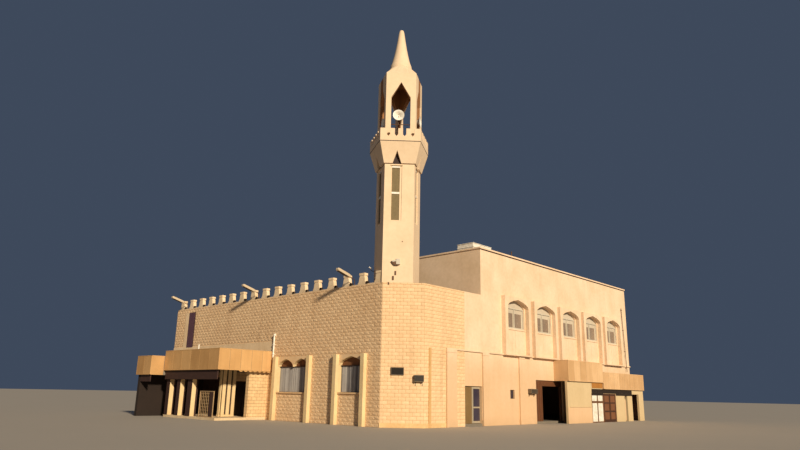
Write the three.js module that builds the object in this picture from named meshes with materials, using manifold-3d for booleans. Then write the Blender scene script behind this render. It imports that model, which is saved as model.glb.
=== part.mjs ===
// Corner mosque with a five-sided minaret, a low block-faced wing and a tall hall block.
// Millimetres, +Z up. X runs along the right facade, Y along the left facade.
import * as THREE from 'three';
import Module from 'manifold-3d';
import { mergeVertices } from 'three/addons/utils/BufferGeometryUtils.js';

const wasm = await Module();
wasm.setup();

// Building envelope
const WALL = 300;
const GAP = 0.3;
const REACH = 50;
const LAP = 10;
const LEFT_LENGTH = 24700;
const RIGHT_LENGTH = 28600;
const WING_HEIGHT = 7900;
const LOW_ROOF_TOP = 7000;
const ROOF_SLAB = 200;
const FLOOR_TOP = 150;
const CHAMFER = 1700;
const HALL_LEFT = 7100;
const HALL_DEPTH = 8600;
const HALL_HEIGHT = 10900;
const HALL_ROOF_TOP = 10200;
const GALLERY_TOP = 4400;
const COPING = { height: 100, overhang: 60 };

// Doorways in the right facade
const METAL_DOOR = { left: 5400, right: 7100, top: 2300 };
const PORTAL = { left: 13350, right: 16930, top: 2850 };
const INNER_DOOR = { left: 21300, right: 23400, top: 2300 };
const TIMBER_DOOR = { left: 21250, right: 23400 };
const LEAF_THICKNESS = 45;
const LEAF_CLEARANCE = 8;
const JAMB_GAP = 10;
const MEETING_GAP = 4;
const KNUCKLE = { radius: 9.7, length: 110, inset: 260 };

// Windows
const BAY_1 = { near: 7850, far: 10950, sill: 1750, spring: 3300, apex: 3800, arches: 2 };
const BAY_2 = { near: 3060, far: 5100, sill: 1800, spring: 3350, apex: 3830, arches: 1 };
const TALL_SLIT = { near: 21900, far: 22550, sill: 4900, head: 7600 };
const FAR_DOORWAY = { near: 22700, far: 24000, head: 2450 };
const PORCH_DOORWAY = { near: 14000, far: 16000, head: 2400 };
const PANE = { setback: 235, thickness: 25 };
const SHEET = 20;
const HALL_WINDOW = { width: 2300, sill: 6080, spring: 7470, apex: 7990, pitch: 3600, last: 25375, count: 5 };
const SMALL_WINDOW = { left: 10200, right: 10700, sill: 1600, head: 2150 };
const PLAIN_WINDOW = { width: 1950, sill: 1800, spring: 3350, apex: 3830, pitch: 4600 };
const BACK_WINDOWS = { first: 2600, count: 6 };
const END_WINDOWS = { first: 10600, count: 3 };
const HALL_END_WINDOW = 4450;
const GLASS_LAP = 100;

// Cooling units on the chamfer, by distance along it
const WALL_UNIT = { near: 560, far: 1280, bottom: 2770, top: 3180, proud: 90, inside: 60 };
const OUTDOOR_UNIT = { near: 1840, far: 2380, bottom: 2430, top: 2790, depth: 260 };

// Trim in front of the walls
const FIN = { width: 280, projection: 260, height: 3950 };
const SILL = { height: 90, projection: 70 };
const TRIM = { projection: 100, stringBottom: 4310, stringTop: 4400 };
const SURROUND = { width: 3170, fin: 325, projection: 300, top: 8150 };
const PILASTERS = [[3610, 4520], [7130, 7780], [11220, 11870]];
const MERLON = {
  count: 17, pitch: 1375, first: 2070, foot: 700, shoulder: 500, waist: 380, cap: 460, height: 660,
};
const MERLON_COURSE = { height: 60, front: 25, back: 275 };

// Porch on the left facade
const CANOPY_1 = { near: 11600, far: 18300, depth: 4000, bottom: 3000, top: 4300 };
const CANOPY_2 = { near: 18300, far: 20300, depth: 4950, bottom: 2700, top: 3950 };
const FASCIA = 110;
const CANOPY_SLAB = 180;
const PORCH = { front: -3700, side: 12000, pierDepth: 400, beam: 240 };
const PORCH_PIERS = [[14935, 15445], [16435, 16815], [17800, 18180]];
const PORCH_SIDE = { outer: -1430, thickness: 300 };
const INNER_PIER = { outer: -2215, inner: -1255, near: 13775, thickness: 300 };
const PORCH_END_WALL = { front: -4800, near: 19880, thickness: 300 };
const RAILING = {
  near: 12465, far: 14085, top: 1720, setback: 110, frame: 50, bar: 30, pitch: 150,
  middle: 950, middleHeight: 40,
};

// Entrance under the right canopies
const ENTRANCE = { plane: -1000, left: 15790, middle: 21150, canopyDepth: 1150 };
const ENTRANCE_LEFT_CANOPY = { bottom: 2850, top: 4300 };
const ENTRANCE_RIGHT_CANOPY = { bottom: 2400, top: 3650 };
const ENTRANCE_WALL = 160;
const ENTRANCE_DOOR_TOP = 2060;
const SCREEN_WALL_END = 19350;
const GLAZED_SCREEN = { left: 19400, setback: 20, depth: 60, rail: 70, transom: 1450, panelDepth: 20 };
const ENTRANCE_PIERS = [[TIMBER_DOOR.right, 25000], [25500, 26400], [27700, RIGHT_LENGTH]];
const PORTAL_TIMBER = { left: 950, right: 200, head: 380, front: 90, back: 210 };
const METAL_DOOR_SETBACK = 120;

// Minaret: a five-sided plan with its front on the chamfer
const TOWER = { side: 1780, offset: -60, wall: 250, splay: 75 };
const FLARE = { bottom: 15080, top: 16360, footSide: 1900, rimSide: 2420 };
const PARAPET = { top: 17160, wall: 150, notchWidth: 200, notchBottom: 16780, notchPoint: 16650, notches: 4 };
const SLOT = { width: 630, shift: -170, sill: 11550, head: 14950, notchApex: 15820, notchWidth: 560 };
const LANTERN = { side: 1840, wall: 300, pillar: 330, spring: 19400, apex: 20420, top: 21050 };
const SPIRE = { footRadius: 700, foot: 21900, neckRadius: 600, neck: 22300, tipRadius: 150, tip: 24800 };
const SCREEN_THICKNESS = 20;
const SCREEN_LAP = 80;

// Fittings on the roofs and in the lantern
const HORN = { bell: [[60, 0], [80, 120], [150, 260], [330, 380], [340, 400]], height: 18190, shift: -130 };
const HORN_RAIL = { height: 17640, size: 60, postWidth: 80, postTop: 18130 };
const FLOODLIGHT = { merlons: [1, 8, 15], width: 240, post: 60, postHeight: 330, reach: 1330, rise: 870 };
const ROOF_TANK = { left: 8000, right: 10200, front: 1200, back: 2600, top: 11700 };

// Finishes
const finish = {
  block: { color: 0xd9b184, roughness: 0.95, metalness: 0 },
  plaster: { color: 0xf2dcb4, roughness: 0.9, metalness: 0 },
  concrete: { color: 0xb9ad9b, roughness: 0.95, metalness: 0 },
  fascia: { color: 0xd8a468, roughness: 0.85, metalness: 0 },
  glass: { color: 0x3d4650, roughness: 0.15, metalness: 0 },
  metal: { color: 0xb8b4a8, roughness: 0.45, metalness: 0.8 },
  timber: { color: 0x6f4526, roughness: 0.7, metalness: 0 },
  enamel: { color: 0xf4f2ea, roughness: 0.5, metalness: 0.1 },
};

const building = new THREE.Group();

function addPiece(name, geometry, look) {
  const mesh = new THREE.Mesh(geometry, new THREE.MeshStandardMaterial(finish[look]));
  mesh.name = name;
  building.add(mesh);
  return mesh;
}

// Outlines are lists of [a, b] points
function outline(points) {
  return new THREE.Shape(points.map(([a, b]) => new THREE.Vector2(a, b)));
}

function rectangle(a0, b0, a1, b1) {
  return outline([[a0, b0], [a1, b0], [a1, b1], [a0, b1]]);
}

// An opening with one or more pointed arches side by side
function archedOpening(a0, a1, sill, spring, apex, arches = 1) {
  const shape = new THREE.Shape();
  const span = (a1 - a0) / arches;
  const shoulder = 0.6;
  shape.moveTo(a0, sill);
  shape.lineTo(a1, sill);
  shape.lineTo(a1, spring);
  for (let i = arches - 1; i >= 0; i -= 1) {
    const start = a0 + (i + 1) * span;
    const crown = start - span / 2;
    const end = start - span;
    const hip = spring + shoulder * (apex - spring);
    shape.quadraticCurveTo(start, hip, crown, apex);
    shape.quadraticCurveTo(end, hip, end, spring);
  }
  shape.closePath();
  return shape;
}

function extrude(shape, depth) {
  return new THREE.ExtrudeGeometry(shape, { depth, bevelEnabled: false, curveSegments: 4 });
}

// Slabs lying across X, Y or Z from a first to a second level, with openings cut through
function acrossX(shape, x0, x1, holes = []) {
  const basis = new THREE.Matrix4().makeBasis(
    new THREE.Vector3(0, 1, 0), new THREE.Vector3(0, 0, 1), new THREE.Vector3(1, 0, 0));
  const slab = extrude(shape, x1 - x0).applyMatrix4(basis).translate(x0, 0, 0);
  return pierce(slab, holes.map((hole) => acrossX(hole, x0 - REACH, x1 + REACH)));
}

function acrossY(shape, y0, y1, holes = []) {
  const basis = new THREE.Matrix4().makeBasis(
    new THREE.Vector3(1, 0, 0), new THREE.Vector3(0, 0, 1), new THREE.Vector3(0, -1, 0));
  const slab = extrude(shape, y1 - y0).applyMatrix4(basis).translate(0, y1, 0);
  return pierce(slab, holes.map((hole) => acrossY(hole, y0 - REACH, y1 + REACH)));
}

function acrossZ(shape, z0, z1, holes = []) {
  const slab = extrude(shape, z1 - z0).translate(0, 0, z0);
  return pierce(slab, holes.map((hole) => acrossZ(hole, z0 - REACH, z1 + REACH)));
}

function pierce(slab, tools) {
  return tools.length > 0 ? cut(slab, ...tools) : slab;
}

function box(x0, x1, y0, y1, z0, z1) {
  const geometry = new THREE.BoxGeometry(x1 - x0, y1 - y0, z1 - z0);
  return geometry.translate((x0 + x1) / 2, (y0 + y1) / 2, (z0 + z1) / 2);
}

// Joins and cuts
function toSolid(geometry) {
  const bare = geometry.clone();
  bare.deleteAttribute('normal');
  bare.deleteAttribute('uv');
  const merged = mergeVertices(bare, 0.01);
  return new wasm.Manifold(new wasm.Mesh({
    numProp: 3,
    vertProperties: new Float32Array(merged.attributes.position.array),
    triVerts: new Uint32Array(merged.index.array),
  }));
}

function toGeometry(solid) {
  const mesh = solid.getMesh();
  const geometry = new THREE.BufferGeometry();
  geometry.setAttribute('position', new THREE.BufferAttribute(new Float32Array(mesh.vertProperties), 3));
  geometry.setIndex(new THREE.BufferAttribute(new Uint32Array(mesh.triVerts), 1));
  geometry.computeVertexNormals();
  return geometry;
}

function cut(body, ...tools) {
  let solid = toSolid(body);
  tools.forEach((tool) => {
    solid = solid.subtract(toSolid(tool));
  });
  return toGeometry(solid);
}

function join(...bodies) {
  let solid = toSolid(bodies[0]);
  bodies.slice(1).forEach((body) => {
    solid = solid.add(toSolid(body));
  });
  return toGeometry(solid);
}

// The chamfer runs from the left facade to the right facade at 45 degrees
const along = new THREE.Vector2(1, -1).normalize();
const inward = new THREE.Vector2(1, 1).normalize();
const chamferLength = CHAMFER * Math.SQRT2;
const mitre = CHAMFER + WALL * Math.tan(Math.PI / 8);
const innerSum = CHAMFER + WALL * Math.SQRT2;

// A point at a distance along the chamfer and a depth behind it
function chamferPoint(u, w) {
  return [along.x * u + inward.x * w, CHAMFER + along.y * u + inward.y * w];
}

// A box that faces the viewer on the chamfer
function chamferBox(u0, u1, w0, w1, z0, z1) {
  return acrossZ(outline([
    chamferPoint(u0, w0), chamferPoint(u0, w1), chamferPoint(u1, w1), chamferPoint(u1, w0),
  ].reverse()), z0, z1);
}

// Floors and roofs
function makeFloors() {
  const edge = WALL + GAP;
  const right = RIGHT_LENGTH - edge;
  const back = LEFT_LENGTH - edge;
  const sum = innerSum + 2 * GAP;
  const floor = acrossZ(outline([
    [edge, sum - edge], [sum - edge, edge],
    [METAL_DOOR.left + GAP, edge], [METAL_DOOR.left + GAP, 0],
    [METAL_DOOR.right - GAP, 0], [METAL_DOOR.right - GAP, edge],
    [PORTAL.left + GAP, edge], [PORTAL.left + GAP, 0],
    [PORTAL.right - GAP, 0], [PORTAL.right - GAP, edge],
    [right, edge], [right, back], [edge, back],
  ]), 0, FLOOR_TOP);
  addPiece('ground_floor', floor, 'concrete');
  const hallEdge = HALL_LEFT - GAP;
  const hallBack = HALL_DEPTH + GAP;
  const lowRoof = acrossZ(outline([
    [edge, sum - edge], [sum - edge, edge], [hallEdge, edge], [hallEdge, hallBack],
    [right, hallBack], [right, back], [edge, back],
  ]), LOW_ROOF_TOP - ROOF_SLAB, LOW_ROOF_TOP);
  const tower = fiveSidedPrism(TOWER.side + 4 * GAP, LOW_ROOF_TOP - 2 * ROOF_SLAB, LOW_ROOF_TOP + ROOF_SLAB);
  addPiece('low_roof', cut(lowRoof, tower), 'concrete');
  const hallInside = [HALL_LEFT + edge, right, edge, HALL_DEPTH - edge];
  addPiece('gallery_floor', box(...hallInside, GALLERY_TOP - ROOF_SLAB, GALLERY_TOP), 'concrete');
  addPiece('hall_roof', box(...hallInside, HALL_ROOF_TOP - ROOF_SLAB, HALL_ROOF_TOP), 'concrete');
}

// Left facade: split-face block wall with two arched window bays
function makeLeftWall() {
  const bay1 = archedOpening(BAY_1.near, BAY_1.far, BAY_1.sill, BAY_1.spring, BAY_1.apex, BAY_1.arches);
  const bay2 = archedOpening(BAY_2.near, BAY_2.far, BAY_2.sill, BAY_2.spring, BAY_2.apex, BAY_2.arches);
  const near = rectangle(mitre, 0, CANOPY_1.near, WING_HEIGHT);
  addPiece('left_wall_near', acrossX(near, 0, WALL, [bay1, bay2]), 'block');
  const far = outline([
    [CANOPY_1.near, 0],
    [PORCH_DOORWAY.near, 0], [PORCH_DOORWAY.near, PORCH_DOORWAY.head],
    [PORCH_DOORWAY.far, PORCH_DOORWAY.head], [PORCH_DOORWAY.far, 0],
    [FAR_DOORWAY.near, 0], [FAR_DOORWAY.near, FAR_DOORWAY.head],
    [FAR_DOORWAY.far, FAR_DOORWAY.head], [FAR_DOORWAY.far, 0],
    [LEFT_LENGTH, 0], [LEFT_LENGTH, WING_HEIGHT], [CANOPY_1.near, WING_HEIGHT],
  ]);
  const slit = rectangle(TALL_SLIT.near, TALL_SLIT.sill, TALL_SLIT.far, TALL_SLIT.head);
  addPiece('left_wall_far', acrossX(far, 0, WALL, [slit]), 'block');
  makeLeftPanes();
}

function makeLeftPanes() {
  const x0 = PANE.setback;
  const x1 = PANE.setback + PANE.thickness;
  [['window_pane_1', BAY_1], ['window_pane_2', BAY_2]].forEach(([name, bay]) => {
    const pane = archedOpening(bay.near + GAP, bay.far - GAP, bay.sill + GAP,
      bay.spring - GAP, bay.apex - 4 * GAP, bay.arches);
    addPiece(name, acrossX(pane, x0, x1), 'glass');
  });
  const slit = rectangle(TALL_SLIT.near + GAP, TALL_SLIT.sill + GAP,
    TALL_SLIT.far - GAP, TALL_SLIT.head - GAP);
  addPiece('slit_pane', acrossX(slit, x0, x1), 'glass');
}

// Two plaster fins and the sill that ties them, beside one window bay
function makeBaySurround(name, bay) {
  const sill = bay.sill;
  const frame = join(
    box(-FIN.projection, 0, bay.near - FIN.width, bay.near, 0, FIN.height),
    box(-FIN.projection, 0, bay.far, bay.far + FIN.width, 0, FIN.height),
    box(-SILL.projection, 0, bay.near - LAP, bay.far + LAP, sill - SILL.height, sill),
  );
  addPiece(name, frame, 'plaster');
}

// The chamfered corner and its window units for cooling
function makeCorner() {
  const plan = outline([
    [0, mitre], [0, CHAMFER], [CHAMFER, 0], [mitre, 0], [mitre, WALL], [WALL, mitre],
  ]);
  const unit = WALL_UNIT;
  const hole = chamferBox(unit.near, unit.far, -REACH, WALL + REACH, unit.bottom, unit.top);
  addPiece('corner_wall', cut(acrossZ(plan, 0, WING_HEIGHT), hole), 'block');
  addPiece('cooling_unit_1', chamferBox(unit.near + GAP, unit.far - GAP, -unit.proud, WALL + unit.inside,
    unit.bottom + GAP, unit.top - GAP), 'metal');
  const hung = OUTDOOR_UNIT;
  addPiece('cooling_unit_2', chamferBox(hung.near, hung.far, -hung.depth, -GAP,
    hung.bottom, hung.top), 'metal');
}

// Right facade, split beside and over the doorways
function makeRightWalls() {
  const windows = [];
  for (let i = 0; i < HALL_WINDOW.count; i += 1) {
    const centre = HALL_WINDOW.last - (HALL_WINDOW.count - 1 - i) * HALL_WINDOW.pitch;
    windows.push(hallOpening(centre));
  }
  const small = rectangle(SMALL_WINDOW.left, SMALL_WINDOW.sill, SMALL_WINDOW.right, SMALL_WINDOW.head);
  addPiece('right_wall_near', acrossY(rectangle(mitre, 0, METAL_DOOR.left, WING_HEIGHT), 0, WALL), 'block');
  const head = rectangle(METAL_DOOR.left, METAL_DOOR.top, METAL_DOOR.right, WING_HEIGHT);
  addPiece('door_head_wall', acrossY(head, 0, WALL), 'plaster');
  const middle = rectangle(HALL_LEFT, 0, PORTAL.left, HALL_HEIGHT);
  addPiece('right_wall_middle', acrossY(middle, 0, WALL, [windows[0], small]), 'plaster');
  const over = rectangle(PORTAL.left, PORTAL.top, PORTAL.right, HALL_HEIGHT);
  addPiece('portal_head_wall', acrossY(over, 0, WALL, [windows[1]]), 'plaster');
  const far = outline([
    [PORTAL.right, 0], [INNER_DOOR.left, 0], [INNER_DOOR.left, INNER_DOOR.top],
    [INNER_DOOR.right, INNER_DOOR.top], [INNER_DOOR.right, 0],
    [RIGHT_LENGTH, 0], [RIGHT_LENGTH, HALL_HEIGHT], [PORTAL.right, HALL_HEIGHT],
  ]);
  addPiece('right_wall_far', acrossY(far, 0, WALL, windows.slice(2)), 'plaster');
}

function hallOpening(centre) {
  const half = HALL_WINDOW.width / 2;
  return archedOpening(centre - half, centre + half, HALL_WINDOW.sill, HALL_WINDOW.spring, HALL_WINDOW.apex);
}

// Plain windows at an even pitch in the two walls away from the streets
function plainWindows(row) {
  return Array.from({ length: row.count }, (_, i) => {
    const start = row.first + i * PLAIN_WINDOW.pitch;
    return archedOpening(start, start + PLAIN_WINDOW.width,
      PLAIN_WINDOW.sill, PLAIN_WINDOW.spring, PLAIN_WINDOW.apex);
  });
}

// First and last edge of the glass behind a row of plain windows
function glassRun(row) {
  const last = row.first + (row.count - 1) * PLAIN_WINDOW.pitch + PLAIN_WINDOW.width;
  return [row.first - GLASS_LAP, last + GLASS_LAP];
}

function makeHiddenWalls() {
  const end = outline([
    [WALL, 0], [LEFT_LENGTH - WALL, 0], [LEFT_LENGTH - WALL, WING_HEIGHT],
    [HALL_DEPTH, WING_HEIGHT], [HALL_DEPTH, HALL_HEIGHT], [WALL, HALL_HEIGHT],
  ]);
  addPiece('end_wall', acrossX(end, RIGHT_LENGTH - WALL, RIGHT_LENGTH,
    [hallOpening(HALL_END_WINDOW), ...plainWindows(END_WINDOWS)]), 'plaster');
  const back = rectangle(WALL, 0, RIGHT_LENGTH, WING_HEIGHT);
  addPiece('back_wall', acrossY(back, LEFT_LENGTH - WALL, LEFT_LENGTH, plainWindows(BACK_WINDOWS)), 'block');
}

// One sheet of glass on the inner face of each wall closes its windows
function makeHiddenGlass() {
  const inner = GAP + SHEET;
  const endFace = RIGHT_LENGTH - WALL;
  const backFace = LEFT_LENGTH - WALL;
  const plain = [PLAIN_WINDOW.sill - GLASS_LAP, PLAIN_WINDOW.apex + GLASS_LAP];
  const tall = [HALL_WINDOW.sill - GLASS_LAP, HALL_WINDOW.apex + GLASS_LAP];
  const endHalf = HALL_WINDOW.width / 2 + GLASS_LAP;
  addPiece('back_glass', box(...glassRun(BACK_WINDOWS), backFace - inner, backFace - GAP, ...plain), 'glass');
  addPiece('end_glass', box(endFace - inner, endFace - GAP, ...glassRun(END_WINDOWS), ...plain), 'glass');
  addPiece('hall_end_glass', box(endFace - inner, endFace - GAP,
    HALL_END_WINDOW - endHalf, HALL_END_WINDOW + endHalf, ...tall), 'glass');
  addPiece('hall_glass', box(HALL_LEFT + WALL + GAP, endFace - inner - GAP,
    WALL + GAP, WALL + inner, ...tall), 'glass');
}

// The two walls of the tall block that stand inside, carried on square piers
function makeInnerHallWalls() {
  const pier = 500;
  const beam = LOW_ROOF_TOP - ROOF_SLAB - 500;
  const backStart = HALL_LEFT;
  const backEnd = RIGHT_LENGTH - WALL - GAP;
  addPiece('hall_back_wall', acrossY(comb(backStart, backEnd, 5, pier, FLOOR_TOP, beam, HALL_HEIGHT),
    HALL_DEPTH - WALL, HALL_DEPTH), 'plaster');
  const sideEnd = HALL_DEPTH - WALL - GAP;
  addPiece('hall_side_wall', acrossX(comb(WALL + GAP, sideEnd, 2, pier, FLOOR_TOP, beam, HALL_HEIGHT),
    HALL_LEFT, HALL_LEFT + WALL), 'plaster');
}

// A deep band on legs: the outline of a wall carried by evenly spaced piers
function comb(start, end, bays, leg, foot, beam, top) {
  const points = [[start, foot]];
  const clear = (end - start - (bays + 1) * leg) / bays;
  for (let i = 0; i < bays; i += 1) {
    const a = start + leg + i * (leg + clear);
    points.push([a, foot], [a, beam], [a + clear, beam], [a + clear, foot]);
  }
  points.push([end, foot], [end, top], [start, top]);
  return outline(points);
}

// Merlons with a flared foot and a flat cap, on one course along the left wall
function makeBattlements() {
  const base = WING_HEIGHT + MERLON_COURSE.height;
  const { foot, shoulder, waist, cap, height } = MERLON;
  const start = MERLON.first - foot / 2;
  const points = [[start, WING_HEIGHT], [LEFT_LENGTH, WING_HEIGHT], [LEFT_LENGTH, base]];
  const profile = [[foot, 0], [foot, 0.16], [shoulder, 0.24], [waist, 0.76], [cap, 0.82], [cap, 1]];
  for (let i = MERLON.count - 1; i >= 0; i -= 1) {
    const y = MERLON.first + i * MERLON.pitch;
    profile.forEach(([width, rise]) => points.push([y + width / 2, base + rise * height]));
    [...profile].reverse().forEach(([width, rise]) => points.push([y - width / 2, base + rise * height]));
  }
  const row = acrossX(outline(points), MERLON_COURSE.front, MERLON_COURSE.back);
  const tower = fiveSidedPrism(TOWER.side + 10, WING_HEIGHT - 100, WING_HEIGHT + 2000);
  addPiece('battlements', cut(row, tower), 'plaster');
}

function makeHallCoping() {
  const over = COPING.overhang;
  const ring = rectangle(HALL_LEFT - over, -over, RIGHT_LENGTH + over, HALL_DEPTH + over);
  const inside = WALL + over;
  const hole = rectangle(HALL_LEFT + inside, inside, RIGHT_LENGTH - inside, HALL_DEPTH - inside);
  addPiece('hall_coping', acrossZ(ring, HALL_HEIGHT, HALL_HEIGHT + COPING.height, [hole]), 'plaster');
}

// String course, pilasters below it, and above it fins with an arched head round each window
function makeFacadeTrim() {
  const start = PILASTERS[0][0];
  const y0 = -TRIM.projection;
  const parts = [box(start, RIGHT_LENGTH, y0, 0, TRIM.stringBottom, TRIM.stringTop)];
  PILASTERS.forEach(([x0, x1]) => {
    parts.push(box(x0, x1, y0, 0, 0, TRIM.stringBottom + LAP));
  });
  for (let i = 0; i < HALL_WINDOW.count; i += 1) {
    const centre = HALL_WINDOW.last - i * HALL_WINDOW.pitch;
    const half = SURROUND.width / 2;
    const clear = half - SURROUND.fin;
    const front = -SURROUND.projection;
    const frame = rectangle(centre - half, TRIM.stringTop - LAP, centre + half, SURROUND.top);
    const recess = archedOpening(centre - clear, centre + clear, TRIM.stringBottom,
      HALL_WINDOW.spring, HALL_WINDOW.apex);
    parts.push(acrossY(frame, front, 0, [recess]));
    parts.push(box(centre - half, centre + half, front, 0, TRIM.stringBottom, TRIM.stringTop));
  }
  addPiece('facade_trim', join(...parts), 'plaster');
}

// A roof slab with a deep fascia on its free sides, open below
function trayCanopy(x0, x1, y0, y1, bottom, top, hollow) {
  const [hx0, hx1, hy0, hy1] = hollow;
  return cut(box(x0, x1, y0, y1, bottom, top),
    box(hx0, hx1, hy0, hy1, bottom - 100, top - CANOPY_SLAB));
}

function makeLeftPorch() {
  const c1 = CANOPY_1;
  const c2 = CANOPY_2;
  addPiece('canopy_1', trayCanopy(-c1.depth, 0, c1.near, c1.far, c1.bottom, c1.top,
    [-c1.depth + FASCIA, -FASCIA, c1.near + FASCIA, c1.far - FASCIA]), 'fascia');
  addPiece('canopy_2', trayCanopy(-c2.depth, 0, c2.near, c2.far, c2.bottom, c2.top,
    [-c2.depth + FASCIA, -FASCIA, c2.near + FASCIA, c2.far - FASCIA]), 'fascia');
  const { front, side, pierDepth, beam } = PORCH;
  const far = c1.far;
  addPiece('porch_floor', box(front, 0, side, far, 0, FLOOR_TOP), 'concrete');
  const top = c1.top - CANOPY_SLAB - GAP;
  const frontPiers = PORCH_PIERS.map(([y0, y1]) => box(front, front + pierDepth, y0, y1, FLOOR_TOP, top));
  const [firstEdge, lastEdge] = [PORCH_PIERS[0][0], PORCH_PIERS[PORCH_PIERS.length - 1][1]];
  const frontBeam = box(front, front + pierDepth, firstEdge, lastEdge, top - beam, top);
  addPiece('porch_piers', join(frontBeam, ...frontPiers), 'plaster');
  makePorchSide(top, beam);
  addPiece('porch_railing', makeRailing(front + RAILING.setback), 'metal');
  const end = PORCH_END_WALL;
  addPiece('porch_end_wall', porchWall(end.front, end.near, end.thickness, 0, c2), 'plaster');
}

// A wall from the facade out to x0, up to the slab of the canopy over it
function porchWall(x0, y0, thickness, foot, canopy) {
  const inner = -FASCIA - GAP;
  return join(
    box(x0, inner, y0, y0 + thickness, foot, canopy.top - CANOPY_SLAB - GAP),
    box(inner - LAP, 0, y0, y0 + thickness, foot, canopy.bottom),
  );
}

// A short side wall, and a pier that stands back from it under the same beam
function makePorchSide(top, beam) {
  const { outer, thickness } = PORCH_SIDE;
  const pier = INNER_PIER;
  const pierBack = pier.near + pier.thickness;
  addPiece('porch_side_wall', join(
    porchWall(outer, PORCH.side, thickness, FLOOR_TOP, CANOPY_1),
    box(outer, pier.inner, PORCH.side, pierBack, top - beam, top),
    box(pier.outer, pier.inner, pier.near, pierBack, FLOOR_TOP, top),
  ), 'plaster');
}

// A framed railing of upright bars with one rail across the middle
function makeRailing(x0) {
  const { near, far, top, frame, bar, pitch, middle, middleHeight } = RAILING;
  const foot = FLOOR_TOP + GAP;
  const lap = frame / 2;
  const ring = cut(box(x0, x0 + frame, near, far, foot, top),
    box(x0 - frame, x0 + 2 * frame, near + frame, far - frame, foot + frame, top - frame));
  const barFront = x0 + (frame - bar) / 2;
  const bars = [];
  for (let y = near + pitch; y < far - frame - bar; y += pitch) {
    bars.push(box(barFront, barFront + bar, y, y + bar, foot + lap, top - lap));
  }
  const across = box(barFront, barFront + bar, near + lap, far - lap, middle, middle + middleHeight);
  return join(ring, across, ...bars);
}

// Entrance front below the two canopies of the right facade
function makeEntrance() {
  const depth = ENTRANCE.canopyDepth;
  const left = ENTRANCE_LEFT_CANOPY;
  const right = ENTRANCE_RIGHT_CANOPY;
  const middle = ENTRANCE.middle;
  addPiece('entrance_canopy_left', trayCanopy(ENTRANCE.left, middle, -depth, 0, left.bottom, left.top,
    [ENTRANCE.left + FASCIA, middle - FASCIA, -depth + 2 * FASCIA + ENTRANCE_WALL, -FASCIA]), 'fascia');
  addPiece('entrance_canopy_right', trayCanopy(middle, RIGHT_LENGTH, -depth, 0, right.bottom, right.top,
    [middle + FASCIA, RIGHT_LENGTH - FASCIA, -depth + 2 * FASCIA + ENTRANCE_WALL, -FASCIA]), 'fascia');
  const y0 = ENTRANCE.plane;
  const y1 = y0 + ENTRANCE_WALL;
  addPiece('entrance_screen_wall', box(ENTRANCE.left, SCREEN_WALL_END, y0, y1, 0, left.bottom), 'plaster');
  const headBottom = ENTRANCE_DOOR_TOP + LEAF_CLEARANCE;
  addPiece('glazed_screen', glazedScreen(GLAZED_SCREEN.left, TIMBER_DOOR.left, y0 + GLAZED_SCREEN.setback,
    headBottom), 'metal');
  const piers = ENTRANCE_PIERS.map(([x0, x1]) => box(x0, x1, y0, y1, 0, headBottom + LAP));
  addPiece('entrance_front', join(
    box(GLAZED_SCREEN.left, RIGHT_LENGTH, y0, y1, headBottom, right.bottom),
    box(GLAZED_SCREEN.left, middle - GAP, y0, y1, right.bottom - LAP, left.bottom),
    ...piers,
  ), 'plaster');
}

// A metal frame with two lights over two panels, as one panelled sheet
function glazedScreen(x0, x1, y0, top) {
  const { depth, rail, transom, panelDepth } = GLAZED_SCREEN;
  const middle = (x0 + x1) / 2;
  const recesses = [];
  [[x0, middle], [middle, x1]].forEach(([a, b]) => {
    [[0, transom], [transom, top]].forEach(([c, d]) => {
      const opening = [c + rail, d - rail];
      recesses.push(box(a + rail, b - rail, y0 - LAP, y0 + panelDepth, ...opening));
      recesses.push(box(a + rail, b - rail, y0 + 2 * panelDepth, y0 + depth + LAP, ...opening));
    });
  });
  return cut(box(x0, x1, y0, y0 + depth, 0, top), ...recesses);
}

// A door leaf with three hinge knuckles on the corner that it turns about
function doorLeaf(x0, x1, y0, z0, z1, hingeX, hingeY) {
  const leaf = box(x0, x1, y0, y0 + LEAF_THICKNESS, z0, z1);
  const heights = [z0 + KNUCKLE.inset, (z0 + z1) / 2, z1 - KNUCKLE.inset];
  const knuckles = heights.map((z) => {
    const knuckle = new THREE.CylinderGeometry(KNUCKLE.radius, KNUCKLE.radius, KNUCKLE.length, 12);
    return knuckle.rotateX(Math.PI / 2).translate(hingeX, hingeY, z);
  });
  return join(leaf, ...knuckles);
}

// Leaves hinge on their inner face in the metal pair and on their outer face in the timber pair
function makeDoorPair(name, left, right, y0, z0, z1, hingeY, look) {
  const middle = (left + right) / 2;
  const x0 = left + JAMB_GAP;
  const x1 = right - JAMB_GAP;
  addPiece(`${name}_left`, doorLeaf(x0, middle - MEETING_GAP, y0, z0, z1, x0, hingeY), look);
  addPiece(`${name}_right`, doorLeaf(middle + MEETING_GAP, x1, y0, z0, z1, x1, hingeY), look);
}

function makeDoors() {
  const metalPlane = METAL_DOOR_SETBACK;
  makeDoorPair('metal_door', METAL_DOOR.left, METAL_DOOR.right, metalPlane,
    FLOOR_TOP + LEAF_CLEARANCE, METAL_DOOR.top - LEAF_CLEARANCE, metalPlane + LEAF_THICKNESS, 'metal');
  const timberPlane = ENTRANCE.plane + GLAZED_SCREEN.setback;
  makeDoorPair('timber_door', TIMBER_DOOR.left, TIMBER_DOOR.right, timberPlane,
    2 * LEAF_CLEARANCE, ENTRANCE_DOOR_TOP, timberPlane, 'timber');
}

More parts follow.
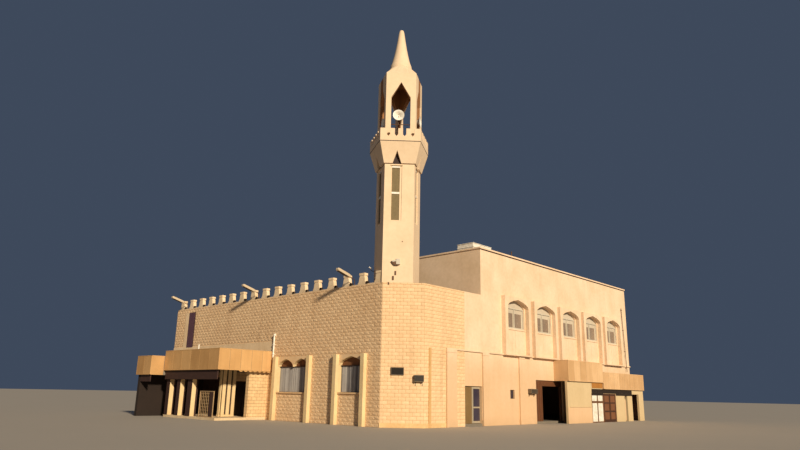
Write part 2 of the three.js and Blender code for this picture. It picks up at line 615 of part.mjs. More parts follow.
function makePortalFrame() {
  const near = PORTAL.left + PORTAL_TIMBER.left;
  const far = PORTAL.right - PORTAL_TIMBER.right;
  const head = PORTAL.top - PORTAL_TIMBER.head;
  const frame = outline([
    [PORTAL.left + GAP, FLOOR_TOP], [near, FLOOR_TOP], [near, head],
    [far, head], [far, FLOOR_TOP],
    [PORTAL.right - GAP, FLOOR_TOP], [PORTAL.right - GAP, PORTAL.top - GAP],
    [PORTAL.left + GAP, PORTAL.top - GAP],
  ]);
  addPiece('portal_frame', acrossY(frame, PORTAL_TIMBER.front, PORTAL_TIMBER.back), 'timber');
}

// Five-sided plan, equal sides, front on the chamfer side, at a depth so that all
// levels share one axis
const splay = THREE.MathUtils.degToRad(TOWER.splay);
const axisDepth = 0.72;
const towerMiddle = TOWER.offset + TOWER.side / 2;

function fiveSidedPlan(side) {
  const front = axisDepth * (TOWER.side - side);
  const half = side / 2;
  const wide = half + side * Math.cos(splay);
  const deep = side * Math.sin(splay);
  const back = deep + Math.sqrt(side * side - wide * wide);
  return [[half, 0], [wide, deep], [0, back], [-wide, deep], [-half, 0]].map(([u, w]) => (
    chamferPoint(towerMiddle + u, front + w)));
}

// Plan of a parallel wall inside a five-sided plan
function insetPlan(side, wall) {
  const points = fiveSidedPlan(side).map(([x, y]) => new THREE.Vector2(x, y));
  const count = points.length;
  const centre = points.reduce((sum, p) => sum.add(p), new THREE.Vector2()).divideScalar(count);
  const lines = points.map((p, i) => {
    const q = points[(i + 1) % count];
    const direction = q.clone().sub(p).normalize();
    const normal = new THREE.Vector2(-direction.y, direction.x);
    if (normal.dot(centre.clone().sub(p)) < 0) {
      normal.negate();
    }
    return { point: p.clone().addScaledVector(normal, wall), direction };
  });
  return lines.map((line, i) => {
    const before = lines[(i + count - 1) % count];
    const offset = line.point.clone().sub(before.point);
    const cross = before.direction.x * line.direction.y - before.direction.y * line.direction.x;
    const t = (offset.x * line.direction.y - offset.y * line.direction.x) / cross;
    const corner = before.point.clone().addScaledVector(before.direction, t);
    return [corner.x, corner.y];
  });
}

function fiveSidedPrism(side, z0, z1) {
  return acrossZ(outline(fiveSidedPlan(side)), z0, z1);
}

function fiveSidedTube(side, wall, z0, z1) {
  return cut(fiveSidedPrism(side, z0, z1),
    acrossZ(outline(insetPlan(side, wall)), z0 - 100, z1 + 100));
}

// A closed skin between rings of equal point counts, with flat ends
function loft(rings) {
  const count = rings[0].length;
  const positions = rings.flat().flat();
  const index = [];
  for (let r = 0; r < rings.length - 1; r += 1) {
    for (let i = 0; i < count; i += 1) {
      const a = r * count + i;
      const b = r * count + ((i + 1) % count);
      index.push(a, b, b + count, a, b + count, a + count);
    }
  }
  const last = (rings.length - 1) * count;
  for (let i = 1; i < count - 1; i += 1) {
    index.push(0, i + 1, i, last, last + i, last + i + 1);
  }
  const geometry = new THREE.BufferGeometry();
  geometry.setAttribute('position', new THREE.Float32BufferAttribute(positions, 3));
  geometry.setIndex(index);
  geometry.computeVertexNormals();
  return geometry;
}

function ringAt(plan, z) {
  return plan.map(([x, y]) => [x, y, z]);
}

// A cutter that passes through one side of the tower: an outline in (u, z)
// measured along that side from its middle
function sideCutter(plan, sideIndex, points, depthIn, depthOut) {
  const p = new THREE.Vector2(...plan[sideIndex]);
  const q = new THREE.Vector2(...plan[(sideIndex + 1) % plan.length]);
  const middle = p.clone().add(q).multiplyScalar(0.5);
  const direction = q.clone().sub(p).normalize();
  const outward = new THREE.Vector2(direction.y, -direction.x);
  const basis = new THREE.Matrix4().makeBasis(
    new THREE.Vector3(direction.x, direction.y, 0), new THREE.Vector3(0, 0, 1),
    new THREE.Vector3(outward.x, outward.y, 0));
  basis.setPosition(middle.x - outward.x * depthIn, middle.y - outward.y * depthIn, 0);
  return extrude(outline(points), depthIn + depthOut).applyMatrix4(basis);
}

function everySide(plan, makePoints, depthIn, depthOut) {
  return plan.map((_, i) => sideCutter(plan, i, makePoints(), depthIn, depthOut));
}

function makeTowerFoot() {
  const tube = fiveSidedTube(TOWER.side, TOWER.wall, FLOOR_TOP, WING_HEIGHT);
  const cutTop = WING_HEIGHT + REACH;
  const clear = 2 * TOWER.side;
  const frontCut = chamferBox(-clear, chamferLength + clear, -clear, WALL + GAP, 0, cutTop);
  const leftCut = box(-WALL, WALL + GAP, 0, chamferLength + clear, 0, cutTop);
  addPiece('minaret_foot', cut(tube, frontCut, leftCut), 'plaster');
}

function makeShaft() {
  const plan = fiveSidedPlan(TOWER.side);
  const half = SLOT.width / 2;
  const slots = everySide(plan, () => [
    [SLOT.shift - half, SLOT.sill], [SLOT.shift + half, SLOT.sill],
    [SLOT.shift + half, SLOT.head], [SLOT.shift - half, SLOT.head],
  ], TOWER.wall + 60, 100);
  addPiece('minaret_shaft', cut(fiveSidedTube(TOWER.side, TOWER.wall, WING_HEIGHT, FLARE.bottom), ...slots),
    'plaster');
  const inner = insetPlan(TOWER.side, TOWER.wall + GAP);
  const lining = insetPlan(TOWER.side, TOWER.wall + GAP + SCREEN_THICKNESS);
  const screens = cut(acrossZ(outline(inner), SLOT.sill - SCREEN_LAP, SLOT.head + SCREEN_LAP),
    acrossZ(outline(lining), SLOT.sill - 2 * SCREEN_LAP, SLOT.head + 2 * SCREEN_LAP));
  addPiece('slot_screens', screens, 'metal');
}

function makeFlare() {
  const lower = fiveSidedPlan(FLARE.footSide);
  const body = loft([ringAt(lower, FLARE.bottom), ringAt(fiveSidedPlan(FLARE.rimSide), FLARE.top)]);
  const hollow = acrossZ(outline(insetPlan(TOWER.side, TOWER.wall)), FLARE.bottom - 100, FLARE.top - 160);
  const half = SLOT.notchWidth / 2;
  const notches = everySide(lower, () => [
    [SLOT.shift - half, FLARE.bottom - 50], [SLOT.shift + half, FLARE.bottom - 50],
    [SLOT.shift, SLOT.notchApex],
  ], 260, 600);
  addPiece('minaret_flare', cut(body, hollow, ...notches), 'plaster');
}

function makeParapet() {
  const plan = fiveSidedPlan(FLARE.rimSide);
  const tube = fiveSidedTube(FLARE.rimSide, PARAPET.wall, FLARE.top, PARAPET.top);
  const pitch = FLARE.rimSide / (PARAPET.notches + 1);
  const half = PARAPET.notchWidth / 2;
  const tools = [];
  for (let i = 0; i < PARAPET.notches; i += 1) {
    const u = (i - (PARAPET.notches - 1) / 2) * pitch;
    tools.push(...everySide(plan, () => [
      [u, PARAPET.notchPoint], [u + half, PARAPET.notchBottom], [u + half, PARAPET.top + 50],
      [u - half, PARAPET.top + 50], [u - half, PARAPET.notchBottom],
    ], PARAPET.wall + 30, 60));
  }
  addPiece('balcony_parapet', cut(tube, ...tools), 'plaster');
}

function makeLantern() {
  const plan = fiveSidedPlan(LANTERN.side);
  const half = LANTERN.side / 2 - LANTERN.pillar;
  const arches = everySide(plan, () => [
    [-half, FLARE.top - 50], [half, FLARE.top - 50], [half, LANTERN.spring],
    [0, LANTERN.apex], [-half, LANTERN.spring],
  ], LANTERN.wall + 130, 100);
  addPiece('lantern', cut(fiveSidedTube(LANTERN.side, LANTERN.wall, FLARE.top, LANTERN.top), ...arches),
    'plaster');
}

// The point of a five-sided plan that lies in a given direction from the axis
function planPointAt(plan, centre, angle) {
  const direction = new THREE.Vector2(Math.cos(angle), Math.sin(angle));
  let reach = Infinity;
  plan.forEach((point, i) => {
    const p = new THREE.Vector2(...point).sub(centre);
    const edge = new THREE.Vector2(...plan[(i + 1) % plan.length]).sub(centre).sub(p);
    const cross = direction.x * edge.y - direction.y * edge.x;
    const t = (p.x * edge.y - p.y * edge.x) / cross;
    if (t > 0) {
      reach = Math.min(reach, t);
    }
  });
  return [centre.x + direction.x * reach, centre.y + direction.y * reach];
}

const towerAxis = new THREE.Vector2(...chamferPoint(towerMiddle, axisDepth * TOWER.side));

function makeSpire() {
  const plan = fiveSidedPlan(LANTERN.side);
  const corners = plan.map(([x, y]) => Math.atan2(y - towerAxis.y, x - towerAxis.x));
  const steps = 4;
  const angles = [];
  const sorted = [...corners].sort((a, b) => a - b);
  sorted.forEach((angle, i) => {
    const next = i + 1 < sorted.length ? sorted[i + 1] : sorted[0] + 2 * Math.PI;
    for (let k = 0; k < steps; k += 1) {
      angles.push(angle + ((next - angle) * k) / steps);
    }
  });
  const round = (radius, z) => angles.map((a) => [
    towerAxis.x + radius * Math.cos(a), towerAxis.y + radius * Math.sin(a), z]);
  const eaves = angles.map((a) => planPointAt(plan, towerAxis, a + 1e-9));
  addPiece('lantern_roof', loft([
    ringAt(eaves, LANTERN.top), round(SPIRE.footRadius, SPIRE.foot),
  ]), 'plaster');
  const rounding = 60;
  addPiece('spire', loft([
    round(SPIRE.footRadius, SPIRE.foot), round(SPIRE.neckRadius, SPIRE.neck),
    round(SPIRE.tipRadius, SPIRE.tip - rounding), round(SPIRE.tipRadius - rounding, SPIRE.tip),
  ]), 'plaster');
}

// A horn loudspeaker on a post that stands on a square rail across the lantern's front arch
function makeLoudspeakers() {
  const { height: railZ, size, postWidth, postTop } = HORN_RAIL;
  const reach = LANTERN.side / 2 - LANTERN.pillar - GAP;
  const frontDepth = axisDepth * (TOWER.side - LANTERN.side) + LANTERN.wall / 2;
  const railFront = frontDepth - size / 2;
  const railBack = frontDepth + size / 2;
  const rail = chamferBox(towerMiddle - reach, towerMiddle + reach, railFront, railBack,
    railZ - size / 2, railZ + size / 2);
  const postMiddle = towerMiddle + HORN.shift;
  const post = chamferBox(postMiddle - postWidth / 2, postMiddle + postWidth / 2, railFront, railBack,
    railZ, postTop);
  const depth = HORN.bell[HORN.bell.length - 1][1];
  const bell = [[0, 0], ...HORN.bell, [0, depth]].map(([r, h]) => new THREE.Vector2(r, h));
  const horn = new THREE.LatheGeometry(bell, 20);
  horn.rotateZ((3 * Math.PI) / 4);
  const [hornX, hornY] = chamferPoint(postMiddle, frontDepth + depth / 2);
  horn.translate(hornX, hornY, HORN.height);
  addPiece('loudspeakers', join(rail, post, horn), 'enamel');
}

// Floodlights on short posts that lean out over the street between merlons
function makeFloodlights() {
  const { merlons, width, post, postHeight, reach, rise } = FLOODLIGHT;
  const base = WING_HEIGHT + MERLON_COURSE.height;
  const armDepth = 90;
  const arm = outline([
    [post, base], [2 * post, base], [2 * post, base + postHeight],
    [-post, base + postHeight + 2 * armDepth], [-reach, base + rise],
    [-reach - armDepth / 3, base + rise - armDepth], [-reach, base + rise - 2 * armDepth],
    [post, base + postHeight - armDepth / 2],
  ]);
  merlons.forEach((merlon, i) => {
    const y = MERLON.first + (merlon + 0.5) * MERLON.pitch;
    addPiece(`floodlight_${i + 1}`, acrossY(arm, y - width / 2, y + width / 2), 'enamel');
  });
}

function makeRoofTank() {
  const { left, right, front, back, top } = ROOF_TANK;
  addPiece('roof_tank', box(left, right, front, back, HALL_ROOF_TOP, top), 'enamel');
}

makeFloors();
makeLeftWall();
makeBaySurround('bay_1_surround', BAY_1);
makeBaySurround('bay_2_surround', BAY_2);
makeCorner();
makeRightWalls();
makeHiddenWalls();
makeHiddenGlass();
makeInnerHallWalls();
makeBattlements();
makeHallCoping();
makeFacadeTrim();
makeLeftPorch();
makeEntrance();
makeDoors();
makePortalFrame();
makeTowerFoot();
makeShaft();
makeFlare();
makeParapet();
makeLantern();
makeSpire();
makeLoudspeakers();
makeFloodlights();
makeRoofTank();

// The origin lies at ground level under the middle of the whole outline
const site = new THREE.Group();
const middleX = (-CANOPY_2.depth + RIGHT_LENGTH + COPING.overhang) / 2;
const middleY = (-ENTRANCE.canopyDepth + LEFT_LENGTH) / 2;
building.position.set(-middleX, -middleY, 0);
site.add(building);

export default site;
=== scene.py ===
# A corner mosque: a block-faced wing with battlements, a tall plastered hall, two pairs of
# fascia canopies and a five-sided minaret. Metres, +Z up, in the frame of the model.
import math
import random
import bpy
import bmesh
from mathutils import Matrix, Vector


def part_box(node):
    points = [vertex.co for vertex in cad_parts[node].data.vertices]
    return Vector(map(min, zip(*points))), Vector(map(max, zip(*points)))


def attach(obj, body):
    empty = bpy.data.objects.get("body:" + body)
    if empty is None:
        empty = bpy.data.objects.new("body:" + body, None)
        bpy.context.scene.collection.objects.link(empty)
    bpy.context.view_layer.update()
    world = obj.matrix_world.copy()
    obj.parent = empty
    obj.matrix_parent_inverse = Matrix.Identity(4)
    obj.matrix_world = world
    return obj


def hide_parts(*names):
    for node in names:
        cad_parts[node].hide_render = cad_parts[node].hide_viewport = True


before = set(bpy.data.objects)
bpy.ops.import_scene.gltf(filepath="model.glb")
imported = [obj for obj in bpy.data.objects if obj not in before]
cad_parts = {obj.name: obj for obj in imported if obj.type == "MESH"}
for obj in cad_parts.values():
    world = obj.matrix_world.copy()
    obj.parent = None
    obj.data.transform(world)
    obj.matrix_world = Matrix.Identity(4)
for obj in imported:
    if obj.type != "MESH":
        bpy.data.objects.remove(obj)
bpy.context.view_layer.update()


# Viewpoint. The viewer stands in the street off the corner, at eye height, and looks
# up a little at the minaret. Yaw, pitch and roll turn a camera that looks straight down.
EYE = Vector((-37.471, -35.185, 1.808))
EYE_YAW, EYE_PITCH, EYE_ROLL = (math.radians(a) for a in (47.035, 14.791, 1.119))
FOCAL_PIXELS, FRAME_WIDTH, FILM_WIDTH = 637.0, 800, 36.0
SEEN_AS_FAR_AS = 2000.0

lens = bpy.data.cameras.new("street_view")
lens.lens = FOCAL_PIXELS * FILM_WIDTH / FRAME_WIDTH
lens.sensor_width = FILM_WIDTH
lens.clip_end = SEEN_AS_FAR_AS
viewer = bpy.data.objects.new("street_view", lens)
bpy.context.scene.collection.objects.link(viewer)
pitch = Matrix.Rotation(math.pi / 2 + EYE_PITCH, 4, "X")
viewer.matrix_world = (Matrix.Translation(EYE) @ Matrix.Rotation(-EYE_YAW, 4, "Z") @ pitch
                       @ Matrix.Rotation(EYE_ROLL, 4, "Z"))
bpy.context.scene.camera = viewer


# Stage. A plain pale floor, a low warm key from the side street and an even cool fill.
# The floor runs far out so that its edge lies on the horizon.
FLOOR_REACH, FLOOR_LEVEL = 400.0, -0.002
KEY_FROM, KEY_POWER, KEY_SOFTNESS = Vector((-0.345, -0.877, 0.37)), 4.5, math.radians(4)
KEY_COLOUR, FILL_COLOUR, FILL_POWER = (1.0, 0.85, 0.63), (0.46, 0.64, 1.0, 1.0), 0.105


class Grain:
    """One socket of a finish's nodes, so that arithmetic on it adds the nodes."""

    def __init__(self, tree, socket):
        self.tree = tree
        self.socket = socket

    def node(self, kind, settings=None, sockets=None, out=0):
        made = self.tree.nodes.new(kind)
        for key, value in (settings or {}).items():
            if key == "stops":
                while len(made.color_ramp.elements) < len(value):
                    made.color_ramp.elements.new(1.0)
                for stop, (place, tone) in zip(made.color_ramp.elements, value):
                    stop.position = place
                    stop.color = (tone, tone, tone, 1.0)
            else:
                setattr(made, key, value)
        for key, value in (sockets or {}).items():
            if isinstance(value, Grain):
                self.tree.links.new(value.socket, made.inputs[key])
            else:
                made.inputs[key].default_value = value
        return Grain(self.tree, made.outputs[out])

    def maths(self, operation, first, second):
        return self.node("ShaderNodeMath", {"operation": operation}, {0: first, 1: second})

    def __add__(self, other):
        return self.maths("ADD", self, other)

    def __sub__(self, other):
        return self.maths("SUBTRACT", self, other)

    def __rsub__(self, other):
        return self.maths("SUBTRACT", other, self)

    def __mul__(self, other):
        return self.maths("MULTIPLY", self, other)

    __radd__ = __add__
    __rmul__ = __mul__

    def between(self, low, high):
        """The two colours mixed by this factor. Three numbers are a colour on a screen."""
        low, high = (screen_colour(c) if isinstance(c, tuple) and len(c) == 3 else c for c in (low, high))
        return self.node("ShaderNodeMix", {"data_type": "RGBA"}, {0: self, 6: low, 7: high}, out=2)

    def cloud(self, scale, detail=4.0, stretch=(1.0, 1.0, 1.0)):
        """Soft patches over the place that this socket gives."""
        spread = self.node("ShaderNodeVectorMath", {"operation": "MULTIPLY"}, {0: self, 1: stretch})
        return self.node("ShaderNodeTexNoise", {}, {"Vector": spread, "Scale": scale, "Detail": detail})

    def ramp(self, *stops):
        return self.node("ShaderNodeValToRGB", {"stops": stops}, {0: self})

    def axis(self, name):
        """The X, Y or Z of the place that this socket gives."""
        return self.node("ShaderNodeSeparateXYZ", {}, {0: self}, out="XYZ".index(name))

    def feed(self, shader, name="Base Color"):
        self.tree.links.new(self.socket, shader.inputs[name])

    def relief(self, shader, depth, strength=0.4):
        bump = self.node("ShaderNodeBump", {}, {"Height": self, "Distance": depth, "Strength": strength})
        bump.feed(shader, "Normal")


def finish(name, roughness, metallic=0.0):
    """A new finish, its shader and the place on the object in metres."""
    made = bpy.data.materials.new(name)
    made.use_nodes = True
    shader = made.node_tree.nodes["Principled BSDF"]
    shader.inputs["Roughness"].default_value = roughness
    shader.inputs["Metallic"].default_value = metallic
    seat = made.node_tree.nodes.new("ShaderNodeTexCoord")
    return made, shader, Grain(made.node_tree, seat.outputs["Object"])


def screen_colour(colour):
    """A colour as it is read on a screen, 0 to 255, as the shader takes it."""
    return tuple(((v / 255 + 0.055) / 1.055) ** 2.4 for v in colour) + (1.0,)


floor_look, floor_shader, floor_place = finish("pale_floor", 0.85)
(floor_place.cloud(0.15) * 0.6 + 0.2).between((168, 160, 149), (178, 170, 159)).feed(floor_shader)
floor = bpy.data.objects.new("studio_floor", bpy.data.meshes.new("studio_floor"))
floor.data.from_pydata([(x * FLOOR_REACH, y * FLOOR_REACH, FLOOR_LEVEL)
                        for x, y in ((-1, -1), (1, -1), (1, 1), (-1, 1))], [], [(0, 1, 2, 3)])
floor.data.materials.append(floor_look)
bpy.context.scene.collection.objects.link(floor)

key = bpy.data.lights.new("key", "SUN")
key.energy = KEY_POWER
key.angle = KEY_SOFTNESS
key.color = KEY_COLOUR
key_lamp = bpy.data.objects.new("key", key)
key_lamp.rotation_euler = KEY_FROM.to_track_quat("Z", "Y").to_euler()
bpy.context.scene.collection.objects.link(key_lamp)
sky = bpy.data.worlds.new("studio")
sky.use_nodes = True
sky.node_tree.nodes["Background"].inputs["Color"].default_value = FILL_COLOUR
sky.node_tree.nodes["Background"].inputs["Strength"].default_value = FILL_POWER
bpy.context.scene.world = sky
bpy.context.scene.view_settings.view_transform = "Standard"


# Floors and roofs. Cast concrete slabs; the porch floor is a low plinth of paler concrete.
# Dust gathers on them in soft patches.
def concrete_finish(name, dark, light):
    look, shader, place = finish(name, 0.93)
    patches = place.cloud(0.8, 6.0) * 0.6 + place.cloud(9.0, 5.0) * 0.4
    patches.ramp((0.35, 0.0), (0.65, 1.0)).between(dark, light).feed(shader)
    place.cloud(60.0, 3.0).relief(shader, 0.004, 0.5)
    return look


def dress(look, *nodes):
    """Gives carried-over pieces of the model their finish."""
    for name in nodes:
        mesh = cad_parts[name].data
        mesh.materials.clear()
        mesh.materials.append(look)


concrete = concrete_finish("cast_concrete", (106, 97, 86), (134, 124, 110))
dress(concrete, "ground_floor", "gallery_floor", "low_roof", "hall_roof")
dress(concrete_finish("porch_concrete", (196, 172, 138), (226, 204, 168)), "porch_floor")


# Block walls of the wing. Split-face concrete blocks, 400 by 200 with joints, laid in
# running bond. Each block is its own pillow with a rough front, cut round the openings,
# and the wall behind it shows as mortar in the joints.
BLOCK_LENGTH, BLOCK_COURSE, JOINT = 0.4, 0.2, 0.014
BLOCK_PROUD, BLOCK_ROUGH, BLOCK_EDGE = 0.022, 0.008, 0.012
BLOCK_COLUMNS, BLOCK_ROWS = 3, 2
UP = Vector((0, 0, 1))


class Face:
    """A wall face: a start on the ground, the way along it and the way out of it."""

    def __init__(self, start, run, out):
        self.start = Vector((*start, 0.0))
        self.run, self.out = Vector((*run, 0.0)).normalized(), Vector((*out, 0.0)).normalized()

    def at(self, along, height, proud=0.0):
        return self.start + self.run * along + self.out * proud + UP * height


def side_face(x, out=-1):
    """A face that looks along X, measured by Y."""
    return Face((x, 0), (0, 1), (out, 0))


def street_face(y, out=-1):
    """A face that looks along Y, measured by X."""
    return Face((0, y), (1, 0), (0, out))


def inset(span, edge):
    """A span less an edge at both ends."""
    return span[0] + edge, span[1] - edge


def centred(middle, half):
    """A span about its middle."""
    return middle - half, middle + half


def spans(node, axis):
    """The span of a node's box along an axis, and its span in height."""
    low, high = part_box(node)
    return (getattr(low, axis), getattr(high, axis)), (low.z, high.z)


class Stock:
    """Closed bodies gathered into one mesh, which rides on a body of the model."""

    def __init__(self):
        self.points, self.faces, self.tones = [], [], []

    def add(self, points, faces, tone=0.5):
        start = len(self.points)
        self.points.extend(tuple(point) for point in points)
        self.faces.extend(tuple(start + i for i in face) for face in faces)
        self.tones.extend([tone] * len(faces))
        return self

    def sweep(self, ring, shift, tone=0.5):
        """A flat outline pushed along a shift."""
        count = len(ring)
        sides = [(i, (i + 1) % count, count + (i + 1) % count, count + i) for i in range(count)]
        ends = [tuple(reversed(range(count))), tuple(range(count, 2 * count))]
        return self.add(list(ring) + [point + shift for point in ring], sides + ends, tone)

    def box(self, low, high):
        (x0, y0, z0), (x1, y1, z1) = low, high
        ring = [Vector((x, y, z0)) for x, y in ((x0, y0), (x1, y0), (x1, y1), (x0, y1))]
        return self.sweep(ring, UP * (z1 - z0))

    def sheet(self, face, outline, back, front, tone=0.5):
        """An outline of (along, height) on a face, from a back to a front depth."""
        return self.sweep([face.at(u, z, back) for u, z in outline], face.out * (front - back), tone)

    def plate(self, face, along, heights, back, front, tone=0.5):
        """A rectangle on a face, from a back to a front depth."""
        (u0, u1), (z0, z1) = along, heights
        return self.sheet(face, [(u0, z0), (u1, z0), (u1, z1), (u0, z1)], back, front, tone)

    def rim(self, face, along, heights, bar, back, front, mullion=0.0):
        """Two uprights, two rails between them and, if asked, a mullion between the rails."""
        for u in (along[0], along[1] - bar):
            self.plate(face, (u, u + bar), heights, back, front)
        for z in (heights[0], heights[1] - bar):
            self.plate(face, inset(along, bar), (z, z + bar), back, front)
        if mullion:
            self.plate(face, centred(sum(along) / 2, mullion / 2), inset(heights, bar), back, front)
        return self

    def turned(self, start, end, profile, sides=24):
        """Rings of (radius, share of the length) about a line, closed at both ends."""
        start, end = Vector(start), Vector(end)
        line = (end - start).normalized()
        side = line.orthogonal().normalized()
        other = line.cross(side)
        turns = [math.tau * i / sides for i in range(sides)]
        points = [start.lerp(end, share) + radius * (math.cos(angle) * side + math.sin(angle) * other)
                  for radius, share in profile for angle in turns]
        faces = [(ring * sides + i, ring * sides + (i + 1) % sides,
                  (ring + 1) * sides + (i + 1) % sides, (ring + 1) * sides + i)
                 for ring in range(len(profile) - 1) for i in range(sides)]
        last = (len(profile) - 1) * sides
        return self.add(points, faces + [tuple(reversed(range(sides))), tuple(range(last, last + sides))])

    def bar(self, start, end, radius, sides=12):
        return self.turned(start, end, [(radius, 0.0), (radius, 1.0)], sides)

    def piece(self, name, look, slot, body="building", bevel=0.0, smooth=False, stands_for=None):
        mesh = bpy.data.meshes.new(name)
        mesh.from_pydata(self.points, [], self.faces)
        mesh.attributes.new("tone", "FLOAT", "FACE").data.foreach_set("value", self.tones)
        work = bmesh.new()
        work.from_mesh(mesh)
        bmesh.ops.recalc_face_normals(work, faces=work.faces)
        work.to_mesh(mesh)
        work.free()
        mesh.materials.append(look)
        made = bpy.data.objects.new(name, mesh)
        bpy.context.scene.collection.objects.link(made)
        if bevel > 0:
            edge = made.modifiers.new("edges", "BEVEL")
            edge.width = bevel
            edge.segments = 2
            edge.limit_method = "ANGLE"
        if smooth:
            mesh.shade_smooth()
            mesh.set_sharp_from_angle(angle=math.radians(40))
        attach(made, body)
        if stands_for:
            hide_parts(stands_for)


def toned(place):
    """The shade that each body of a mesh was given when it was made."""
    return place.node("ShaderNodeAttribute", {"attribute_name": "tone"}, out=2)


mortar, mortar_shader, mortar_place = finish("mortar", 0.95)
(mortar_place.cloud(1.5) * 0.8 + 0.1).between((176, 142, 102), (204, 172, 128)).feed(mortar_shader)
mortar_place.cloud(80.0, 4.0).relief(mortar_shader, 0.004, 0.6)

block, block_shader, block_place = finish("split_face_block", 0.92)
block_soil = block_place.cloud(0.35, 5.0).ramp((0.4, 0.0), (0.7, 1.0))
block_streak = block_place.cloud(1.0, 3.0, (3.0, 3.0, 0.18)).ramp((0.48, 0.0), (0.75, 1.0))
block_mix = toned(block_place) * 0.35 + block_place.cloud(90.0, 5.0) * 0.35 + block_soil * 0.15 + 0.12
block_base = block_mix.between((214, 174, 130), (248, 218, 178))
(block_streak * 0.25).between(block_base, (172, 130, 92)).feed(block_shader)
(block_place.cloud(45.0, 6.0) + block_place.cloud(160.0, 3.0) * 0.4).relief(block_shader, 0.012, 0.8)


def without(rect, hole):
    """A rectangle (u0, u1, z0, z1) less a hole: what is left, as rectangles."""
    u0, u1, v0, v1 = rect
    h0, h1, k0, k1 = hole
    if h1 <= u0 or h0 >= u1 or k1 <= v0 or k0 >= v1:
        return [rect]
    middle0, middle1 = max(u0, h0), min(u1, h1)
    parts = [(u0, h0, v0, v1), (h1, u1, v0, v1), (middle0, middle1, v0, k0), (middle0, middle1, k1, v1)]
    return [(a0, a1, b0, b1) for a0, a1, b0, b1 in parts if a1 > a0 and b1 > b0]


def lay_block(stock, face, rect, rng):
    """One block with a rough front, less half a joint all round. Slivers are left out."""
    if rect[1] - rect[0] < 2.5 * JOINT or rect[3] - rect[2] < 2.5 * JOINT:
        return
    (u0, u1), (v0, v1) = inset(rect[:2], JOINT / 2), inset(rect[2:], JOINT / 2)
    points = [face.at(u, v) for u, v in ((u0, v0), (u1, v0), (u1, v1), (u0, v1))]
    for j in range(BLOCK_ROWS + 1):
        for i in range(BLOCK_COLUMNS + 1):
            rim = i in (0, BLOCK_COLUMNS) or j in (0, BLOCK_ROWS)
            u = min(max(u0 + (u1 - u0) * i / BLOCK_COLUMNS, u0 + BLOCK_EDGE / 2), u1 - BLOCK_EDGE / 2)
            v = min(max(v0 + (v1 - v0) * j / BLOCK_ROWS, v0 + BLOCK_EDGE / 2), v1 - BLOCK_EDGE / 2)
            depth = BLOCK_PROUD - (BLOCK_EDGE if rim else 0) + rng.uniform(-1, 1) * BLOCK_ROUGH / 2
            points.append(face.at(u, v, depth))
    grid = [[4 + j * (BLOCK_COLUMNS + 1) + i for i in range(BLOCK_COLUMNS + 1)]
            for j in range(BLOCK_ROWS + 1)]
    faces = [(grid[j][i], grid[j][i + 1], grid[j + 1][i + 1], grid[j + 1][i])
             for j in range(BLOCK_ROWS) for i in range(BLOCK_COLUMNS)]
    faces += [(0, 1, *reversed(grid[0])), (2, 3, *grid[-1]), (0, 3, 2, 1),
              (1, 2, *(row[-1] for row in reversed(grid))), (3, 0, *(row[0] for row in grid))]
    stock.add(points, faces, min(max(rng.gauss(0.5, 0.2), 0), 1))


def lay_wall(name, face, start, end, height, holes, seed):
    """Courses of block over one wall face, cut round the holes in it."""
    rng = random.Random(seed)
    stock = Stock()
    for course in range(math.ceil(height / BLOCK_COURSE)):
        v0 = course * BLOCK_COURSE
        u = start - (course % 2) * BLOCK_LENGTH / 2
        while u < end:
            rects = [(max(u, start), min(u + BLOCK_LENGTH, end), v0, min(v0 + BLOCK_COURSE, height))]
            for hole in holes:
                rects = [part for rect in rects for part in without(rect, hole)]
            for rect in rects:
                lay_block(stock, face, rect, rng)
            u += BLOCK_LENGTH
    stock.piece(name, block, "block")


CHAMFER = 1.7
FIN_WIDTH = 0.28
BAY_SILL_DEPTH = 0.09
PORCH_DOOR = (14.0, 16.0, 2.4)
FAR_DOOR = (22.7, 24.0, 2.45)
WALL_UNIT = ((0.56, 1.28), (2.77, 3.18))
FIRST_PILASTER = 0.91
STRING_BOTTOM, STRING_TOP = 4.31, 4.4

left_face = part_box("left_wall_near")[0].x
right_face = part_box("right_wall_near")[0].y
wing_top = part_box("left_wall_near")[1].z
wing_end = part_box("left_wall_far")[1].y
left = side_face(left_face)
right = street_face(right_face)
corner = Face((left_face, right_face + CHAMFER), (1, -1), (-1, -1))
corner_length = CHAMFER * math.sqrt(2)

slit_along, slit_heights = spans("slit_pane", "y")
bays = [(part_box("bay_%d_surround" % i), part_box("window_pane_%d" % i)) for i in (1, 2)]
left_holes = [slit_along + slit_heights]
for near, far, head in (PORCH_DOOR, FAR_DOOR):
    left_holes.append((right_face + near, right_face + far, 0.0, head))
for (low, high), pane in bays:
    left_holes += [(low.y, low.y + FIN_WIDTH, 0.0, high.z), (high.y - FIN_WIDTH, high.y, 0.0, high.z),
                   (*inset((low.y, high.y), FIN_WIDTH), pane[0].z - BAY_SILL_DEPTH, high.z)]
lay_wall("left_facing", left, right_face + CHAMFER, wing_end, wing_top, left_holes, 11)
lay_wall("corner_facing", corner, 0.0, corner_length, wing_top, [WALL_UNIT[0] + WALL_UNIT[1]], 12)
pilaster_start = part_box("facade_trim")[0].x
lay_wall("right_facing", right, left_face + CHAMFER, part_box("right_wall_near")[1].x, wing_top,
         [(pilaster_start, pilaster_start + FIRST_PILASTER, 0.0, STRING_BOTTOM)], 13)
dress(mortar, "left_wall_near", "left_wall_far", "corner_wall", "right_wall_near")


# Plinth and cover strip. A smooth cement plinth runs along the foot of the corner and on to
# the first pilaster, and a painted strip stands on the right wall just past the corner.
PLINTH_TOP, PLINTH_PROUD = 0.24, 0.045
STRIP_START, STRIP_END = left_face + 2.06, left_face + 2.24


